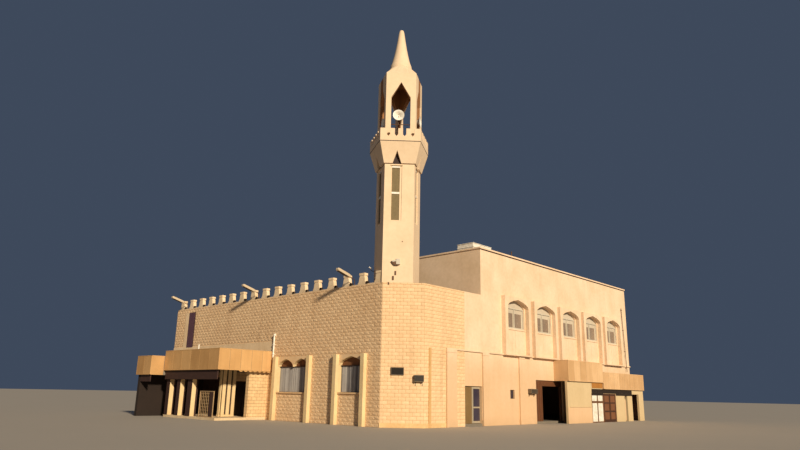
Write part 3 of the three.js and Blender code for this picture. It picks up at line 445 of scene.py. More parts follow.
def mottled(name, roughness, dark, light, patch, grit=None, metallic=0.0, stops=None, smear=None):
    """Two colours in patches of (scale, detail, stretch), with a grit of (scale, depth), and on
    glass a smear of (share, least) in its gloss."""
    look, shader, place = finish(name, roughness, metallic)
    patches = place.cloud(*patch)
    if stops:
        patches = patches.ramp(*stops)
    patches.between(dark, light).feed(shader)
    if grit:
        place.cloud(grit[0]).relief(shader, grit[1])
    if smear:
        (place.cloud(3.0, 5.0) * smear[0] + smear[1]).feed(shader, "Roughness")
    return look


bend = PLINTH_PROUD * math.tan(math.radians(22.5))
foot_line = [corner.at(-bend, 0.0, PLINTH_PROUD), corner.at(corner_length + bend, 0.0, PLINTH_PROUD),
             right.at(STRIP_START, 0.0, PLINTH_PROUD), right.at(STRIP_START, 0.0),
             corner.at(corner_length, 0.0), corner.at(0.0, 0.0)]
plinth = Stock().sweep(foot_line, UP * PLINTH_TOP)
plinth.plate(right, (STRIP_END, pilaster_start), (0.0, PLINTH_TOP), 0.0, PLINTH_PROUD)
plinth_cement = concrete_finish("plinth_cement", (206, 168, 118), (232, 196, 144))
plinth.piece("corner_plinth", plinth_cement, "concrete", bevel=0.008)
strip_paint = mottled("strip_paint", 0.7, (192, 150, 98), (220, 180, 126), (2.0, 5.0), (40.0, 0.002))
strip = Stock().plate(right, (STRIP_START, STRIP_END), (0.0, STRING_BOTTOM), 0.0, 0.07)
strip.piece("cover_strip", strip_paint, "timber", bevel=0.006)


# Back wall. The wall away from the streets has the same blocks, shown by its finish alone,
# with the joints sunk between them.
coursed, coursed_shader, coursed_place = finish("coursed_block", 0.93)
across, up = coursed_place.axis("X"), coursed_place.axis("Z")
flat = coursed_place.node("ShaderNodeCombineXYZ", {}, {0: across, 1: up})
courses = {"Vector": flat, "Scale": 1.0, "Mortar Size": JOINT / 2, "Brick Width": BLOCK_LENGTH,
           "Row Height": BLOCK_COURSE}
joints = coursed_place.node("ShaderNodeTexBrick", {}, courses, out=1)
coursed_base = (coursed_place.cloud(3.0, 6.0) * 0.9).between((196, 158, 112), (246, 216, 168))
joints.between(coursed_base, (150, 120, 84)).feed(coursed_shader)
(coursed_place.cloud(60.0, 5.0) * 0.3 - joints).relief(coursed_shader, 0.012, 0.8)
dress(coursed, "back_wall", "porch_side_wall")


# Plastered walls of the hall. Cream cement render with cloudy repairs, rain streaks that
# run down it and dust at the foot. The bay surrounds and porch piers are yellower.
def plaster_finish(name, dark, light, stain, foot_warmth=0.7, painted_shade_inside=None):
    """Render between two creams, warmed by street dust below the string course. A painted shade
    inside is an axis, the reach and the height within which the render is painted another
    colour, standing in for the shade inside a hollow."""
    look, shader, place = finish(name, 0.88)
    warm = tuple(c * share for c, share in zip(screen_colour(dark), (0.88, 0.75, 0.60, 1.0)))
    cloudy = place.cloud(0.7, 6.0) * 0.6 + place.cloud(5.0, 5.0) * 0.4
    fresh = cloudy.ramp((0.35, 0.0), (0.68, 1.0)).between(dark, light)
    low = place.axis("Z") * 0.1
    base = (low.ramp((0.0, 1.0), (0.3, 0.8), (0.46, 0.0)) * foot_warmth).between(fresh, warm)
    streak = place.cloud(0.9, 4.0, (2.2, 2.2, 0.2)).ramp((0.5, 0.0), (0.8, 1.0))
    foot = place.axis("Z").ramp((0.05, 1.0), (0.6, 0.0)) * place.cloud(2.5, 4.0)
    coat = (streak * 0.16 + foot * 0.45).between(base, stain)
    if painted_shade_inside:
        axis, reach, top, colour = painted_shade_inside
        x, y = place.axis("X") - axis.x, place.axis("Y") - axis.y
        near = place.maths("LESS_THAN", x * x + y * y, reach * reach)
        coat = (near * place.maths("LESS_THAN", place.axis("Z"), top)).between(coat, colour)
    coat.feed(shader)
    (place.cloud(24.0, 6.0) + place.cloud(110.0, 2.0) * 0.3).relief(shader, 0.004, 0.5)
    return look


plaster = plaster_finish("cream_plaster", (222, 194, 161), (240, 213, 185), (176, 142, 104))
dress(plaster, "door_head_wall", "right_wall_middle", "portal_head_wall", "right_wall_far", "end_wall",
      "hall_back_wall", "hall_side_wall", "hall_coping", "facade_trim")
fin_plaster = plaster_finish("fin_plaster", (220, 194, 148), (240, 216, 170), (184, 150, 104), 0.2)
dress(fin_plaster, "bay_1_surround", "bay_2_surround", "porch_piers")


# Battlements on the left wall. Each merlon is cast in three tiers: a flared foot, a narrower
# body and a square cap over a groove. They stand on one low course, with closed iron spouts
# between them; the spouts' near-black iron and stops are partly painted shade of their hollows.
MERLON_COUNT, MERLON_PITCH, FIRST_MERLON, MERLON_HEIGHT = 17, 1.375, 2.07, 0.66
MERLON_BACK, MERLON_FRONT = -0.275, -0.025
LOW_COURSE = 0.06
MERLON_TIERS = [(0.35, 0.0), (0.35, 0.07), (0.31, 0.14), (0.27, 0.24), (0.255, 0.34), (0.25, 0.46),
                (0.235, 0.60), (0.205, 0.72), (0.185, 0.76), (0.185, 0.80)]
CAP_HALF, CAP_FOOT, CAP_PROUD = 0.23, 0.79, 0.02
SPOUT_WIDTH, SPOUT_HEIGHT, SPOUT_WALL = 0.16, 0.14, 0.02
SPOUT_DEPTHS, STOP_DEPTHS = (-0.14, 0.0), (-0.12, -0.10)

merlons, spouts = Stock(), Stock()
merlon_foot = wing_top + LOW_COURSE
merlon_rng = random.Random(21)
row_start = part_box("battlements")[0].y
merlons.plate(left, (row_start, wing_end), (wing_top, merlon_foot), MERLON_BACK, MERLON_FRONT)
for i in range(MERLON_COUNT):
    middle = right_face + FIRST_MERLON + i * MERLON_PITCH
    tone = merlon_rng.uniform(0.3, 0.8)
    edge = [(middle + half, merlon_foot + share * MERLON_HEIGHT) for half, share in MERLON_TIERS]
    edge += [(2 * middle - y, z) for y, z in reversed(edge)]
    merlons.sheet(left, edge, MERLON_BACK, MERLON_FRONT, tone)
    merlons.plate(left, centred(middle, CAP_HALF),
                  (merlon_foot + CAP_FOOT * MERLON_HEIGHT, merlon_foot + MERLON_HEIGHT),
                  MERLON_BACK - CAP_PROUD, MERLON_FRONT + CAP_PROUD, tone)
    if i:
        along = centred(middle - MERLON_TIERS[0][0] - SPOUT_WIDTH / 2, SPOUT_WIDTH / 2)
        heights = (merlon_foot, merlon_foot + SPOUT_HEIGHT)
        spouts.rim(left, along, heights, SPOUT_WALL, *SPOUT_DEPTHS)
        spouts.plate(left, inset(along, SPOUT_WALL), inset(heights, SPOUT_WALL), *STOP_DEPTHS)
cast_stone = plaster_finish("cast_stone", (222, 194, 156), (246, 224, 192), (158, 124, 88))
merlons.piece("battlement_row", cast_stone, "plaster", bevel=0.012, stands_for="battlements")
spout_iron_and_shade = mottled("spout_iron_and_shade", 0.6, (38, 28, 22), (66, 50, 38), (12.0,), metallic=0.4)
spouts.piece("roof_spouts", spout_iron_and_shade, "metal")


# Window bays of the left wall. Deep in each pointed opening, behind plastered reveals, a
# flat-headed metal window stands under a dark lintel and a brown head panel, with upright
# slats before it; the sill and the spandrels are rendered in tan. The lintel's near-black is
# painted shadow under the arch, and the head panel's brown is partly painted shade of the recess.
WINDOW_HEAD, SPANDREL_TOP, LINTEL_HEIGHT = 3.29, 3.95, 0.035
BLIND_PITCH, BLIND_WIDTH, BLIND_SHEET, BLIND_DEPTH = 0.09, 0.086, 0.004, 0.19
LINING, FRAME_BAR = 0.015, 0.05
BAY_SHAPES = [(3.3, 3.8, 2, (0.4, 0.7)), (3.35, 3.83, 1, (0.0, 1.0))]  # springing, apex, arches, shades


def arch_line(start, end, spring, apex, arches=1):
    """The pointed heads of an opening as (along, height), from one springing to the other."""
    points = []
    half = (end - start) / arches / 2
    hip = spring + 0.6 * (apex - spring)
    for i in range(arches):
        crown = start + (2 * i + 1) * half
        side = [(half * (1 - t * t), (1 - t) ** 2 * spring + 2 * t * (1 - t) * hip + t * t * apex)
                for t in (0.0, 0.25, 0.5, 0.75, 1.0)]
        points += [(crown - u, z) for u, z in side] + [(crown + u, z) for u, z in reversed(side[:-1])]
    return points


tan_render = plaster_finish("tan_render", (230, 198, 156), (250, 222, 184), (182, 146, 106))
blind, blind_shader, blind_place = finish("slatted_blind", 0.7)
(toned(blind_place) * 0.7 + blind_place.cloud(1.2, 3.0) * 0.3).between((74, 70, 76), (200, 194, 188)).feed(
    blind_shader)
blind_place.cloud(220.0, 2.0, (1.0, 1.0, 0.1)).relief(blind_shader, 0.001)
frame_metal = mottled("window_frame_metal", 0.42, (84, 70, 56), (118, 100, 80), (14.0,), metallic=0.55)
head_panel_painted_shade = plaster_finish("head_panel_painted_shade", (118, 76, 44), (150, 102, 62), (84, 54, 34))
lintel_painted_shadow = mottled("lintel_painted_shadow", 0.7, (44, 25, 22), (66, 40, 33), (9.0,))
glass, glass_shader, glass_place = finish("dusty_glass", 0.12)
glass_shader.inputs["Alpha"].default_value = 0.28
dust = glass_place.cloud(2.0, 6.0).ramp((0.4, 0.0), (0.75, 1.0))
dust.between((60, 66, 72), (150, 140, 124)).feed(glass_shader)
(dust * 0.3 + 0.08).feed(glass_shader, "Roughness")

for number, (((low, high), (pane_low, pane_high)), shape) in enumerate(zip(bays, BAY_SHAPES), 1):
    spring, apex, arches, shades = shape
    blind_rng = random.Random(30 + number)
    depth = left_face - pane_low.x
    start, end, sill = pane_low.y, pane_high.y, pane_low.z
    opening, heights = (start, end), (sill, WINDOW_HEAD)
    slats = Stock()
    count = int((end - start - 2 * FRAME_BAR) / BLIND_PITCH)
    first = (start + end - (count - 1) * BLIND_PITCH) / 2
    for i in range(count):
        lean = blind_rng.uniform(0.25, 0.7)
        middle = left.at(first + i * BLIND_PITCH, sill + 0.02, -BLIND_DEPTH)
        half = (left.run * math.cos(lean) + left.out * math.sin(lean)) * BLIND_WIDTH / 2
        thick = (left.out * math.cos(lean) - left.run * math.sin(lean)) * BLIND_SHEET
        slats.sweep([middle - half, middle + half, middle + half + thick, middle - half + thick],
                    UP * (WINDOW_HEAD - sill - 0.04), blind_rng.uniform(*shades))
    slats.piece("blinds_%d" % number, blind, "metal")
    bars = Stock().rim(left, opening, heights, FRAME_BAR, depth - 0.025, depth + 0.02, FRAME_BAR)
    bars.piece("bay_window_frame_%d" % number, frame_metal, "metal", bevel=0.004,
               stands_for="window_pane_%d" % number)
    pane = Stock().plate(left, inset(opening, FRAME_BAR), inset(heights, FRAME_BAR), depth - 0.01,
                         depth - 0.004)
    pane.piece("bay_glass_%d" % number, glass, "glass")
    edge = arch_line(start, end, spring + 0.004, apex - 0.006, arches)
    panel = Stock().sheet(left, [(start, WINDOW_HEAD)] + edge + [(end, WINDOW_HEAD)], depth - 0.03,
                          depth + 0.01)
    panel.piece("bay_head_%d" % number, head_panel_painted_shade, "plaster")
    a, b = inset(opening, LINING)
    inner = [(a, sill)] + arch_line(a, b, spring - 0.008, apex - 0.02, arches) + [(b, sill)]
    reveal = Stock().sheet(left, [(start, sill)] + edge + [(end, sill)] + inner[::-1], depth, 0.0)
    reveal.piece("bay_reveal_%d" % number, fin_plaster, "plaster")
    lintel = Stock().plate(left, (a, b), (WINDOW_HEAD, WINDOW_HEAD + LINTEL_HEIGHT), depth, -0.11)
    lintel.piece("bay_lintel_%d" % number, lintel_painted_shadow, "timber", bevel=0.004)
    a, b = inset((low.y, high.y), FIN_WIDTH)
    line = arch_line(a, b, spring, apex, arches)
    spandrel = Stock().sheet(left, [(a, SPANDREL_TOP)] + line + [(b, SPANDREL_TOP)], 0.0, 0.024)
    spandrel.plate(left, (a, b), (sill - BAY_SILL_DEPTH, sill - 0.004), 0.07, 0.078)
    spandrel.piece("bay_spandrel_%d" % number, tan_render, "plaster")


# The tall slit and the two far doorways of the left wall. The slit has dark glass in a
# thin frame, beside a smooth margin; the doorways have sheet-metal doors set deep in the wall,
# whose near-black is partly painted shade of the deep doorways.
SLIT_BAR, SLIT_MARGIN, SASH_PROUD, SASH_LAP = 0.04, 0.75, 0.034, 0.24
SLIT_RAILS = (5.55, 6.2, 6.85)
DOOR_FOOT, DOOR_GAP, DOOR_STILE = 0.16, 0.004, 0.12
LEAF_DEPTHS, PANEL_DEPTHS = (-0.24, -0.20), (-0.20, -0.185)

dark_glass = mottled("dark_glass", 0.1, (40, 34, 46), (74, 66, 82), (0.9, 4.0), smear=(0.25, 0.05))
dress(dark_glass, "slit_pane", "back_glass", "end_glass", "hall_end_glass", "hall_glass")
depth = left_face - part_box("slit_pane")[0].x
slit_bars = Stock().rim(left, slit_along, slit_heights, SLIT_BAR, depth, depth + 0.03)
for z in SLIT_RAILS:
    slit_bars.plate(left, inset(slit_along, SLIT_BAR), (z, z + SLIT_BAR), depth, depth + 0.03)
slit_bars.piece("slit_frame", frame_metal, "metal", bevel=0.004)
slit_tint = mottled("maroon_glass", 0.25, (84, 56, 66), (112, 80, 88), (1.4, 4.0), smear=(0.25, 0.12))
start, end = slit_along
sash = Stock().plate(left, (start + 0.01, end + SASH_LAP), inset(slit_heights, 0.01), SASH_PROUD,
                     SASH_PROUD + 0.008)
sash.piece("slit_outer_glass", slit_tint, "glass")
margin = Stock().plate(left, (end, end + SLIT_MARGIN), (slit_heights[0] - 0.1, slit_heights[1]), 0.0,
                       SASH_PROUD)
margin.piece("slit_margin", tan_render, "plaster", bevel=0.006)

painted_shade_door = mottled("painted_shade_sheet_door", 0.5, (24, 18, 16), (48, 36, 30), (3.0, 5.0), (30.0, 0.002), 0.3)
for name, (near, far, head) in (("porch_inner_door", PORCH_DOOR), ("far_door", FAR_DOOR)):
    leaf = Stock()
    start, end = inset((right_face + near, right_face + far), 0.01)
    middle = (start + end) / 2
    for along in ((start, middle - DOOR_GAP), (middle + DOOR_GAP, end)):
        leaf.plate(left, along, (DOOR_FOOT, head - 0.01), *LEAF_DEPTHS)
        for heights in ((0.30, 1.10), (1.25, head - 0.18)):
            leaf.plate(left, inset(along, DOOR_STILE), heights, *PANEL_DEPTHS)
    leaf.piece(name, painted_shade_door, "metal", bevel=0.005)


# Fittings of the left wall: a white waste pipe with its clips beside the canopy, a short
# upright on the canopy roof and a plaster band where the canopy roof meets the wall.
PIPE_RADIUS, PIPE_PLACE, PIPE_FOOT, PIPE_TOP, PIPE_PROUD = 0.055, -0.33, 3.9, 5.4, 0.1
PIPE_CLIPS, CLIP_HALF, CLIP_HEIGHT, CLIP_PROUD = (4.1, 4.7, 5.3), 0.08, 0.04, 0.165
BAND_TOP, BAND_PROUD = 4.95, 0.03
UPRIGHT_REACH, UPRIGHT_PLACE, UPRIGHT_FOOT, UPRIGHT_RADIUS = 2.9, 7.3, 3.95, 0.05

enamel = mottled("white_enamel", 0.4, (240, 236, 226), (212, 202, 184), (5.0, 5.0), (60.0, 0.001),
                 stops=((0.4, 0.0), (0.75, 1.0)))
pipe = Stock().bar(left.at(PIPE_PLACE, PIPE_FOOT, PIPE_PROUD), left.at(PIPE_PLACE, PIPE_TOP, PIPE_PROUD),
                   PIPE_RADIUS, 16)
pipe.bar(left.at(PIPE_PLACE, PIPE_TOP, 0.11), left.at(PIPE_PLACE, PIPE_TOP, -0.02), PIPE_RADIUS, 16)
for z in PIPE_CLIPS:
    pipe.plate(left, centred(PIPE_PLACE, CLIP_HALF), (z, z + CLIP_HEIGHT), 0.0, CLIP_PROUD)
pipe.piece("waste_pipe", enamel, "enamel", bevel=0.004)
canopy_low, canopy_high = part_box("canopy_1")
band = Stock().plate(left, (canopy_low.y, wing_end), (canopy_high.z, BAND_TOP), 0.0, BAND_PROUD)
band.piece("wall_band", tan_render, "plaster", bevel=0.005)
upright = canopy_low.x + UPRIGHT_REACH
Stock().bar((upright, UPRIGHT_PLACE, UPRIGHT_FOOT), (upright, UPRIGHT_PLACE, BAND_TOP), UPRIGHT_RADIUS).piece(
    "roof_upright", enamel, "enamel")


# Canopies over the porch. Each is a concrete tray clad on its free sides with sheets of
# painted board, with a narrow open joint between sheets and folded strips above and below.
# The nearer one has a scalloped edge under its street side.
CLADDING, BOARD_BACK, REVEAL, STRIP, SHEET_JOINT, SEAM = 0.02, 0.04, 0.012, 0.035, 0.016, 0.025
FASCIA_WALL, ROOF_SLAB = 0.11, 0.18


def board_finish(name, dark, light, stain):
    """Painted board, a little different from sheet to sheet, with rain marks down it."""
    look, shader, place = finish(name, 0.66)
    shade = place.cloud(1.3, 6.0) * 0.5 + toned(place) * 0.5
    base = shade.ramp((0.25, 0.0), (0.75, 1.0)).between(dark, light)
    rain = place.cloud(1.2, 4.0, (3.0, 3.0, 0.2)).ramp((0.5, 0.0), (0.8, 1.0))
    (rain * 0.22).between(base, stain).feed(shader)
    place.cloud(26.0, 5.0).relief(shader, 0.003)
    return look


def steps(start, end, pitch):
    """Places from a start to before an end, a pitch apart."""
    while start < end:
        yield start
        start += pitch


def canopy(node, look, seed, front_wall=FASCIA_WALL, ribs=None, street_end=None, **sheets):
    """A tray with four walls under a slab, and on each named side so many sheets between a
    folded strip above and one below. The street side may have ribs at a pitch."""
    low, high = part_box(node)
    x0, y0, z0 = low + Vector((CLADDING, CLADDING, 0))
    x1, y1, z1 = high - Vector((CLADDING, CLADDING, 0.005))
    under, wall = z1 - ROOF_SLAB, FASCIA_WALL
    tray = Stock()
    tray.box((x0, y0, z0), (x0 + wall, y1, under)).box((x1 - wall, y0, z0), (x1, y1, under))
    tray.box((x0 + wall, y0, z0), (x1 - wall, y0 + front_wall, under))
    tray.box((x0 + wall, y1 - wall, z0), (x1 - wall, y1, under)).box((x0, y0, under), (x1, y1, z1))
    tray.piece(node + "_tray", concrete, "concrete", stands_for=node)
    rng = random.Random(seed)
    boards = Stock()
    sides = {"left": (side_face(low.x), low.y, high.y), "right": (side_face(high.x, 1), low.y, high.y),
             "street": (street_face(low.y), low.x, street_end or high.x),
             "back": (street_face(high.y, 1), low.x, high.x)}
    heights = inset((low.z, high.z), STRIP)
    for name, count in sheets.items():
        face, start, end = sides[name]
        width = (end - start) / count
        for i in range(count):
            a, b = inset((start + i * width, start + (i + 1) * width), SHEET_JOINT / 2)
            boards.plate(face, (a, b), heights, -BOARD_BACK, -REVEAL, rng.uniform(0, 1))
            for u in steps(a + ribs, b - ribs, ribs) if ribs and name == "street" else ():
                boards.plate(face, (u, u + SEAM), heights, -REVEAL, -0.002, 0.8)
        boards.plate(face, (start, end), (high.z - STRIP, high.z), -BOARD_BACK, 0.0, 0.9)
        boards.plate(face, (start, end), (low.z, low.z + STRIP), -BOARD_BACK, 0.0, 0.6)
    boards.piece(node + "_boards", look, "fascia", bevel=0.004)


fascia = board_finish("fascia_board", (186, 143, 90), (212, 169, 114), (146, 102, 60))
canopy("canopy_1", fascia, 41, left=6, street=5)
canopy("canopy_2", fascia, 42, street_end=canopy_low.x, left=2, street=1, back=5)

SCALLOPS, SCALLOP_WIDTH, SCALLOP_DROP = 7, 0.35, 0.08
scallops = Stock()
for i in range(SCALLOPS):
    start = canopy_high.x - 0.05 - (i + 1) * SCALLOP_WIDTH
    end, top = start + SCALLOP_WIDTH, canopy_low.z + 0.02
    lobe = [(start + SCALLOP_WIDTH * k / 8, canopy_low.z - SCALLOP_DROP * math.sin(math.pi * k / 8))
            for k in range(9)]
    scallops.sheet(street_face(canopy_low.y), [(start, top)] + lobe + [(end, top)], -0.05, -0.03)
scallops.piece("scalloped_edge", fascia, "fascia")


# Dark red-brown boards in the porch: a beam hung behind the front of each canopy, upright
# boards on the wall, and boards on the street side and back edge of the front piers. Their
# near-black is painted shade, for the deep shade under the canopies. The porch's end wall
# is rendered in near-black brown, which is painted shade too.
PANEL_BOARD, PANEL_TOP, PANEL_START, PANEL_END = 0.42, 2.66, 0.56, 8.08
BEAM_FOOT = 2.42
PIERS_X = (-15.555, -15.155)
PIERS_Y = [(3.16, 3.67), (4.66, 5.04), (6.025, 6.405)]
PIER_BOARD = 0.02

shadow_board = mottled("painted_shadow_board", 0.75, (44, 27, 23), (70, 43, 34), (4.0, 5.0))
low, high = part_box("canopy_2")
beams = Stock().box((low.x + 0.14, low.y + 0.16, low.z - 0.45), (low.x + 0.20, high.y - 0.45, low.z + 0.3))
beams.box((canopy_low.x + 0.13, canopy_low.y + 0.2, BEAM_FOOT),
          (canopy_low.x + 0.19, canopy_high.y - 0.02, canopy_low.z + 0.3))
beams.piece("canopy_beams", shadow_board, "timber", bevel=0.01)
backing_painted_shade = plaster_finish("backing_painted_shade", (58, 42, 35), (80, 60, 48), (40, 30, 26))
painted_shade_render = plaster_finish("painted_shade_render", (36, 25, 20), (52, 38, 30), (26, 19, 16))
dress(painted_shade_render, "porch_end_wall")
panelling = Stock()
for start, end in ((PANEL_START, right_face + PORCH_DOOR[0] - 0.02),
                   (right_face + PORCH_DOOR[1] + 0.02, PANEL_END)):
    boards = int((end - start) / PANEL_BOARD)
    for i in range(boards):
        along = (start + (end - start) * i / boards, start + (end - start) * (i + 1) / boards)
        tone = 0.2 + 0.3 * (i % 3)
        panelling.plate(left, inset(along, 0.006), (DOOR_FOOT, PANEL_TOP), 0.024, 0.05, tone)
panelling.piece("porch_panelling", shadow_board, "timber", bevel=0.004)
post_boards = Stock()
for near, far in PIERS_Y:
    near, far = near - PIER_BOARD, far + PIER_BOARD
    post_boards.box((PIERS_X[0] - PIER_BOARD, near, DOOR_FOOT), (PIERS_X[0], far, canopy_low.z))
    post_boards.box((PIERS_X[1] - 0.1, near, DOOR_FOOT),
                    (PIERS_X[1] + PIER_BOARD, near + PIER_BOARD, canopy_low.z))
post_boards.piece("pier_boards", shadow_board, "timber", bevel=0.004)


# Porch screens. Inside the porch stands a pier faced with upright plaster ribs over a brown
# backing, which is painted shade in the gaps between the ribs; between the front piers a steel
# grille of square bars fills one opening, with a near-black board behind part of it as painted shade.
RIB, RIB_PITCH, RIB_PROUD, RIB_FOOT = 0.235, 0.36, 0.075, 0.12
PIER_X, PIER_Y, PIER_TOP = (-14.07, -13.11), (2.0, 2.3), 4.1
PORCH_FLOOR_TOP = 0.15

ribs, backing = Stock(), Stock()
for face, width in ((Face((PIER_X[0], PIER_Y[0]), (1, 0), (0, -1)), PIER_X[1] - PIER_X[0]),
                    (Face((PIER_X[0], PIER_Y[0]), (0, 1), (-1, 0)), PIER_Y[1] - PIER_Y[0])):
    backing.plate(face, (0.0, width), (PORCH_FLOOR_TOP, PIER_TOP), 0.0, 0.012)
    count = int((width + RIB_PITCH - RIB) / RIB_PITCH)
    for i in range(count):
        u = (width - (count - 1) * RIB_PITCH - RIB) / 2 + i * RIB_PITCH
        ribs.plate(face, (u, u + RIB), (PORCH_FLOOR_TOP + RIB_FOOT, PIER_TOP), 0.012, RIB_PROUD)
    ribs.plate(face, (0.0, width), (PORCH_FLOOR_TOP, PORCH_FLOOR_TOP + RIB_FOOT), 0.012, RIB_PROUD + 0.02)
ribs.piece("pier_ribs", fin_plaster, "plaster", bevel=0.012)
backing.piece("pier_backing", backing_painted_shade, "plaster")

GRILLE_FRAME, GRILLE_BAR, GRILLE_PITCH, GRILLE_SHEET = 0.05, 0.035, 0.2, 0.48
FRAME_DEPTHS, UPRIGHT_DEPTHS = (-0.025, 0.025), (-0.01, 0.01)
RAIL_DEPTHS, SHEET_DEPTHS = (-0.014, 0.006), (0.012, 0.024)

face = side_face(sum(spans("porch_railing", "x")[0]) / 2)
along, heights = spans("porch_railing", "y")
grille = Stock().rim(face, along, heights, GRILLE_FRAME, *FRAME_DEPTHS)
clear, clear_heights = inset(along, GRILLE_FRAME), inset(heights, GRILLE_FRAME)
for y in steps(along[0] + GRILLE_PITCH, clear[1], GRILLE_PITCH):
    grille.plate(face, (y, y + GRILLE_BAR), clear_heights, *UPRIGHT_DEPTHS)
for z in steps(heights[0] + GRILLE_PITCH, clear_heights[1], GRILLE_PITCH):
    grille.plate(face, clear, (z, z + GRILLE_BAR), *RAIL_DEPTHS)
Stock().plate(face, (clear[0], along[0] + GRILLE_SHEET), clear_heights, *SHEET_DEPTHS).piece(
    "grille_board", shadow_board, "timber", bevel=0.003)
grille_steel = mottled("grille_steel", 0.55, (176, 146, 108), (208, 178, 136), (10.0, 5.0), metallic=0.5)
grille.piece("porch_grille", grille_steel, "metal", bevel=0.003, stands_for="porch_railing")


# Cooling units on the corner. One sticks through the wall and the other hangs on two
# brackets; both have dark louvres over the whole front. Their casings are darkened to a
# dull brown, partly painted shade.
UNIT_RIM, RIM_DEPTHS = 0.03, (0.05, 0.09)
UNIT_LOUVRE, UNIT_LOUVRE_PITCH = ((0.0, 0.052), (0.008, 0.052), (-0.012, 0.082), (-0.020, 0.082)), 0.034
HUNG_ALONG, HUNG_FOOT, HUNG_TOP, HUNG_DEPTH = (1.84, 2.38), 2.43, 2.79, 0.26

casing_painted_shade = mottled("unit_casing_painted_shade", 0.5, (112, 98, 80), (78, 66, 52), (3.0, 5.0, (1.0, 1.0, 0.4)), metallic=0.1,
                 stops=((0.45, 0.0), (0.75, 1.0)))
dark_fins = mottled("dark_fins", 0.6, (40, 38, 38), (70, 64, 58), (30.0,), metallic=0.4)
along, heights = WALL_UNIT
unit_1 = Stock().plate(corner, along, heights, -0.36, 0.05)
for z in (heights[0], heights[1] - UNIT_RIM):
    unit_1.plate(corner, along, (z, z + UNIT_RIM), *RIM_DEPTHS)
for u in (along[0], along[1] - UNIT_RIM):
    unit_1.plate(corner, (u, u + UNIT_RIM), inset(heights, UNIT_RIM), *RIM_DEPTHS)
unit_1.piece("wall_cooler_casing", casing_painted_shade, "metal", bevel=0.006, stands_for="cooling_unit_1")
louvres = Stock()
u0, u1 = inset(along, UNIT_RIM)
for z in steps(heights[0] + 0.05, heights[1] - 0.05, UNIT_LOUVRE_PITCH):
    louvres.sweep([corner.at(u0, z + up, proud) for up, proud in UNIT_LOUVRE], corner.run * (u1 - u0))
unit_2 = Stock().plate(corner, HUNG_ALONG, (HUNG_FOOT, HUNG_TOP), 0.03, HUNG_DEPTH - 0.02)
unit_2.piece("hung_cooler_casing", casing_painted_shade, "metal", bevel=0.012, stands_for="cooling_unit_2")
for z in steps(HUNG_FOOT + 0.04, HUNG_TOP - 0.04, 0.032):
    louvres.plate(corner, inset(HUNG_ALONG, 0.02), (z, z + 0.022), HUNG_DEPTH - 0.02, HUNG_DEPTH)
for u in inset(HUNG_ALONG, 0.08):
    louvres.plate(corner, centred(u, 0.015), (HUNG_FOOT - 0.03, HUNG_FOOT), 0.0, HUNG_DEPTH - 0.03)
    louvres.plate(corner, centred(u, 0.015), (HUNG_FOOT - 0.22, HUNG_FOOT - 0.03), 0.0, 0.03)
louvres.piece("cooler_grilles", dark_fins, "metal")


# Trim and windows of the hall. Between each pair of fins a light casement stands nearly
# flush in its arched opening, over a plain infill panel with one upright bead; a thin
# conduit runs down beside the last one. The pilasters have plinths and a moulding.
HALL_LAST, HALL_PITCH, HALL_COUNT = 25.375, 3.6, 5
CASEMENT_HALF, CASEMENT_SILL, CASEMENT_SPRING, CASEMENT_APEX = 1.149, 6.08, 7.46, 7.97
CASEMENT_BAR, CASEMENT_DEPTH, CASEMENT_BACK = 0.07, 0.06, -0.13
PANE_SIDE, PANE_INNER, PANE_FOOT, PANE_DROP = 0.25, 0.1, 0.05, 0.35
PANE_DEPTHS, ARCH_DEPTHS = (-0.12, -0.11), (-0.16, -0.13)
PILASTERS = [(3.61, 4.52), (7.13, 7.78), (11.22, 11.87)]
SILL_HALF, INFILL_HALF = 1.24, 0.03
CONDUIT_HEAD, CONDUIT_FOOT = (15.755, 9.23, 0.06), (15.96, 3.90, 0.13)


def casement(stock, face, span, sill, spring, bar, back, mullion_top):
    """Uprights at the ends and in the middle, and rails at the foot and the springing."""
    (a, b), half = span, bar / 2
    middle, front = (a + b) / 2, back + CASEMENT_DEPTH
    uprights = ((a, a + bar), spring), (centred(middle, half), mullion_top), ((b - bar, b), spring)
    for along, top in uprights:
        stock.plate(face, along, (sill, top), back, front)
    for along in ((a + bar, middle - half), (middle + half, b - bar)):
        for z in (sill, spring - bar):
            stock.plate(face, along, (z, z + bar), back, front)


casements, window_boards, hall_panes, trim = Stock(), Stock(), Stock(), Stock()
for i in range(HALL_COUNT):
    middle = left_face + HALL_LAST - i * HALL_PITCH
    a, b = centred(middle, CASEMENT_HALF)
    casement(casements, right, (a, b), CASEMENT_SILL, CASEMENT_SPRING, CASEMENT_BAR, CASEMENT_BACK,
             CASEMENT_SPRING)
    haunch = [(b, CASEMENT_SPRING)]
    haunch += [(middle + CASEMENT_HALF * math.cos(t) ** 0.8,
                CASEMENT_SPRING + (CASEMENT_APEX - CASEMENT_SPRING) * math.sin(t))
               for t in (0.3, 0.6, 0.9, 1.2)]
    arch = [(a, CASEMENT_SILL), (b, CASEMENT_SILL)] + haunch + [(middle, CASEMENT_APEX)]
    arch += [(2 * middle - u, z) for u, z in reversed(haunch)]
    window_boards.sheet(right, arch, *ARCH_DEPTHS)
    pane_heights = (CASEMENT_SILL + CASEMENT_BAR + PANE_FOOT, CASEMENT_SPRING - PANE_DROP)
    inner = CASEMENT_BAR / 2 + PANE_INNER
    for along in ((a + PANE_SIDE, middle - inner), (middle + inner, b - PANE_SIDE)):
        hall_panes.plate(right, along, pane_heights, *PANE_DEPTHS)
    trim.plate(right, centred(middle, SILL_HALF), (CASEMENT_SILL - 0.09, CASEMENT_SILL - 0.02), 0.0, 0.05)
    trim.plate(right, centred(middle, INFILL_HALF), (STRING_TOP + 0.01, CASEMENT_SILL - 0.1), 0.0, 0.02)
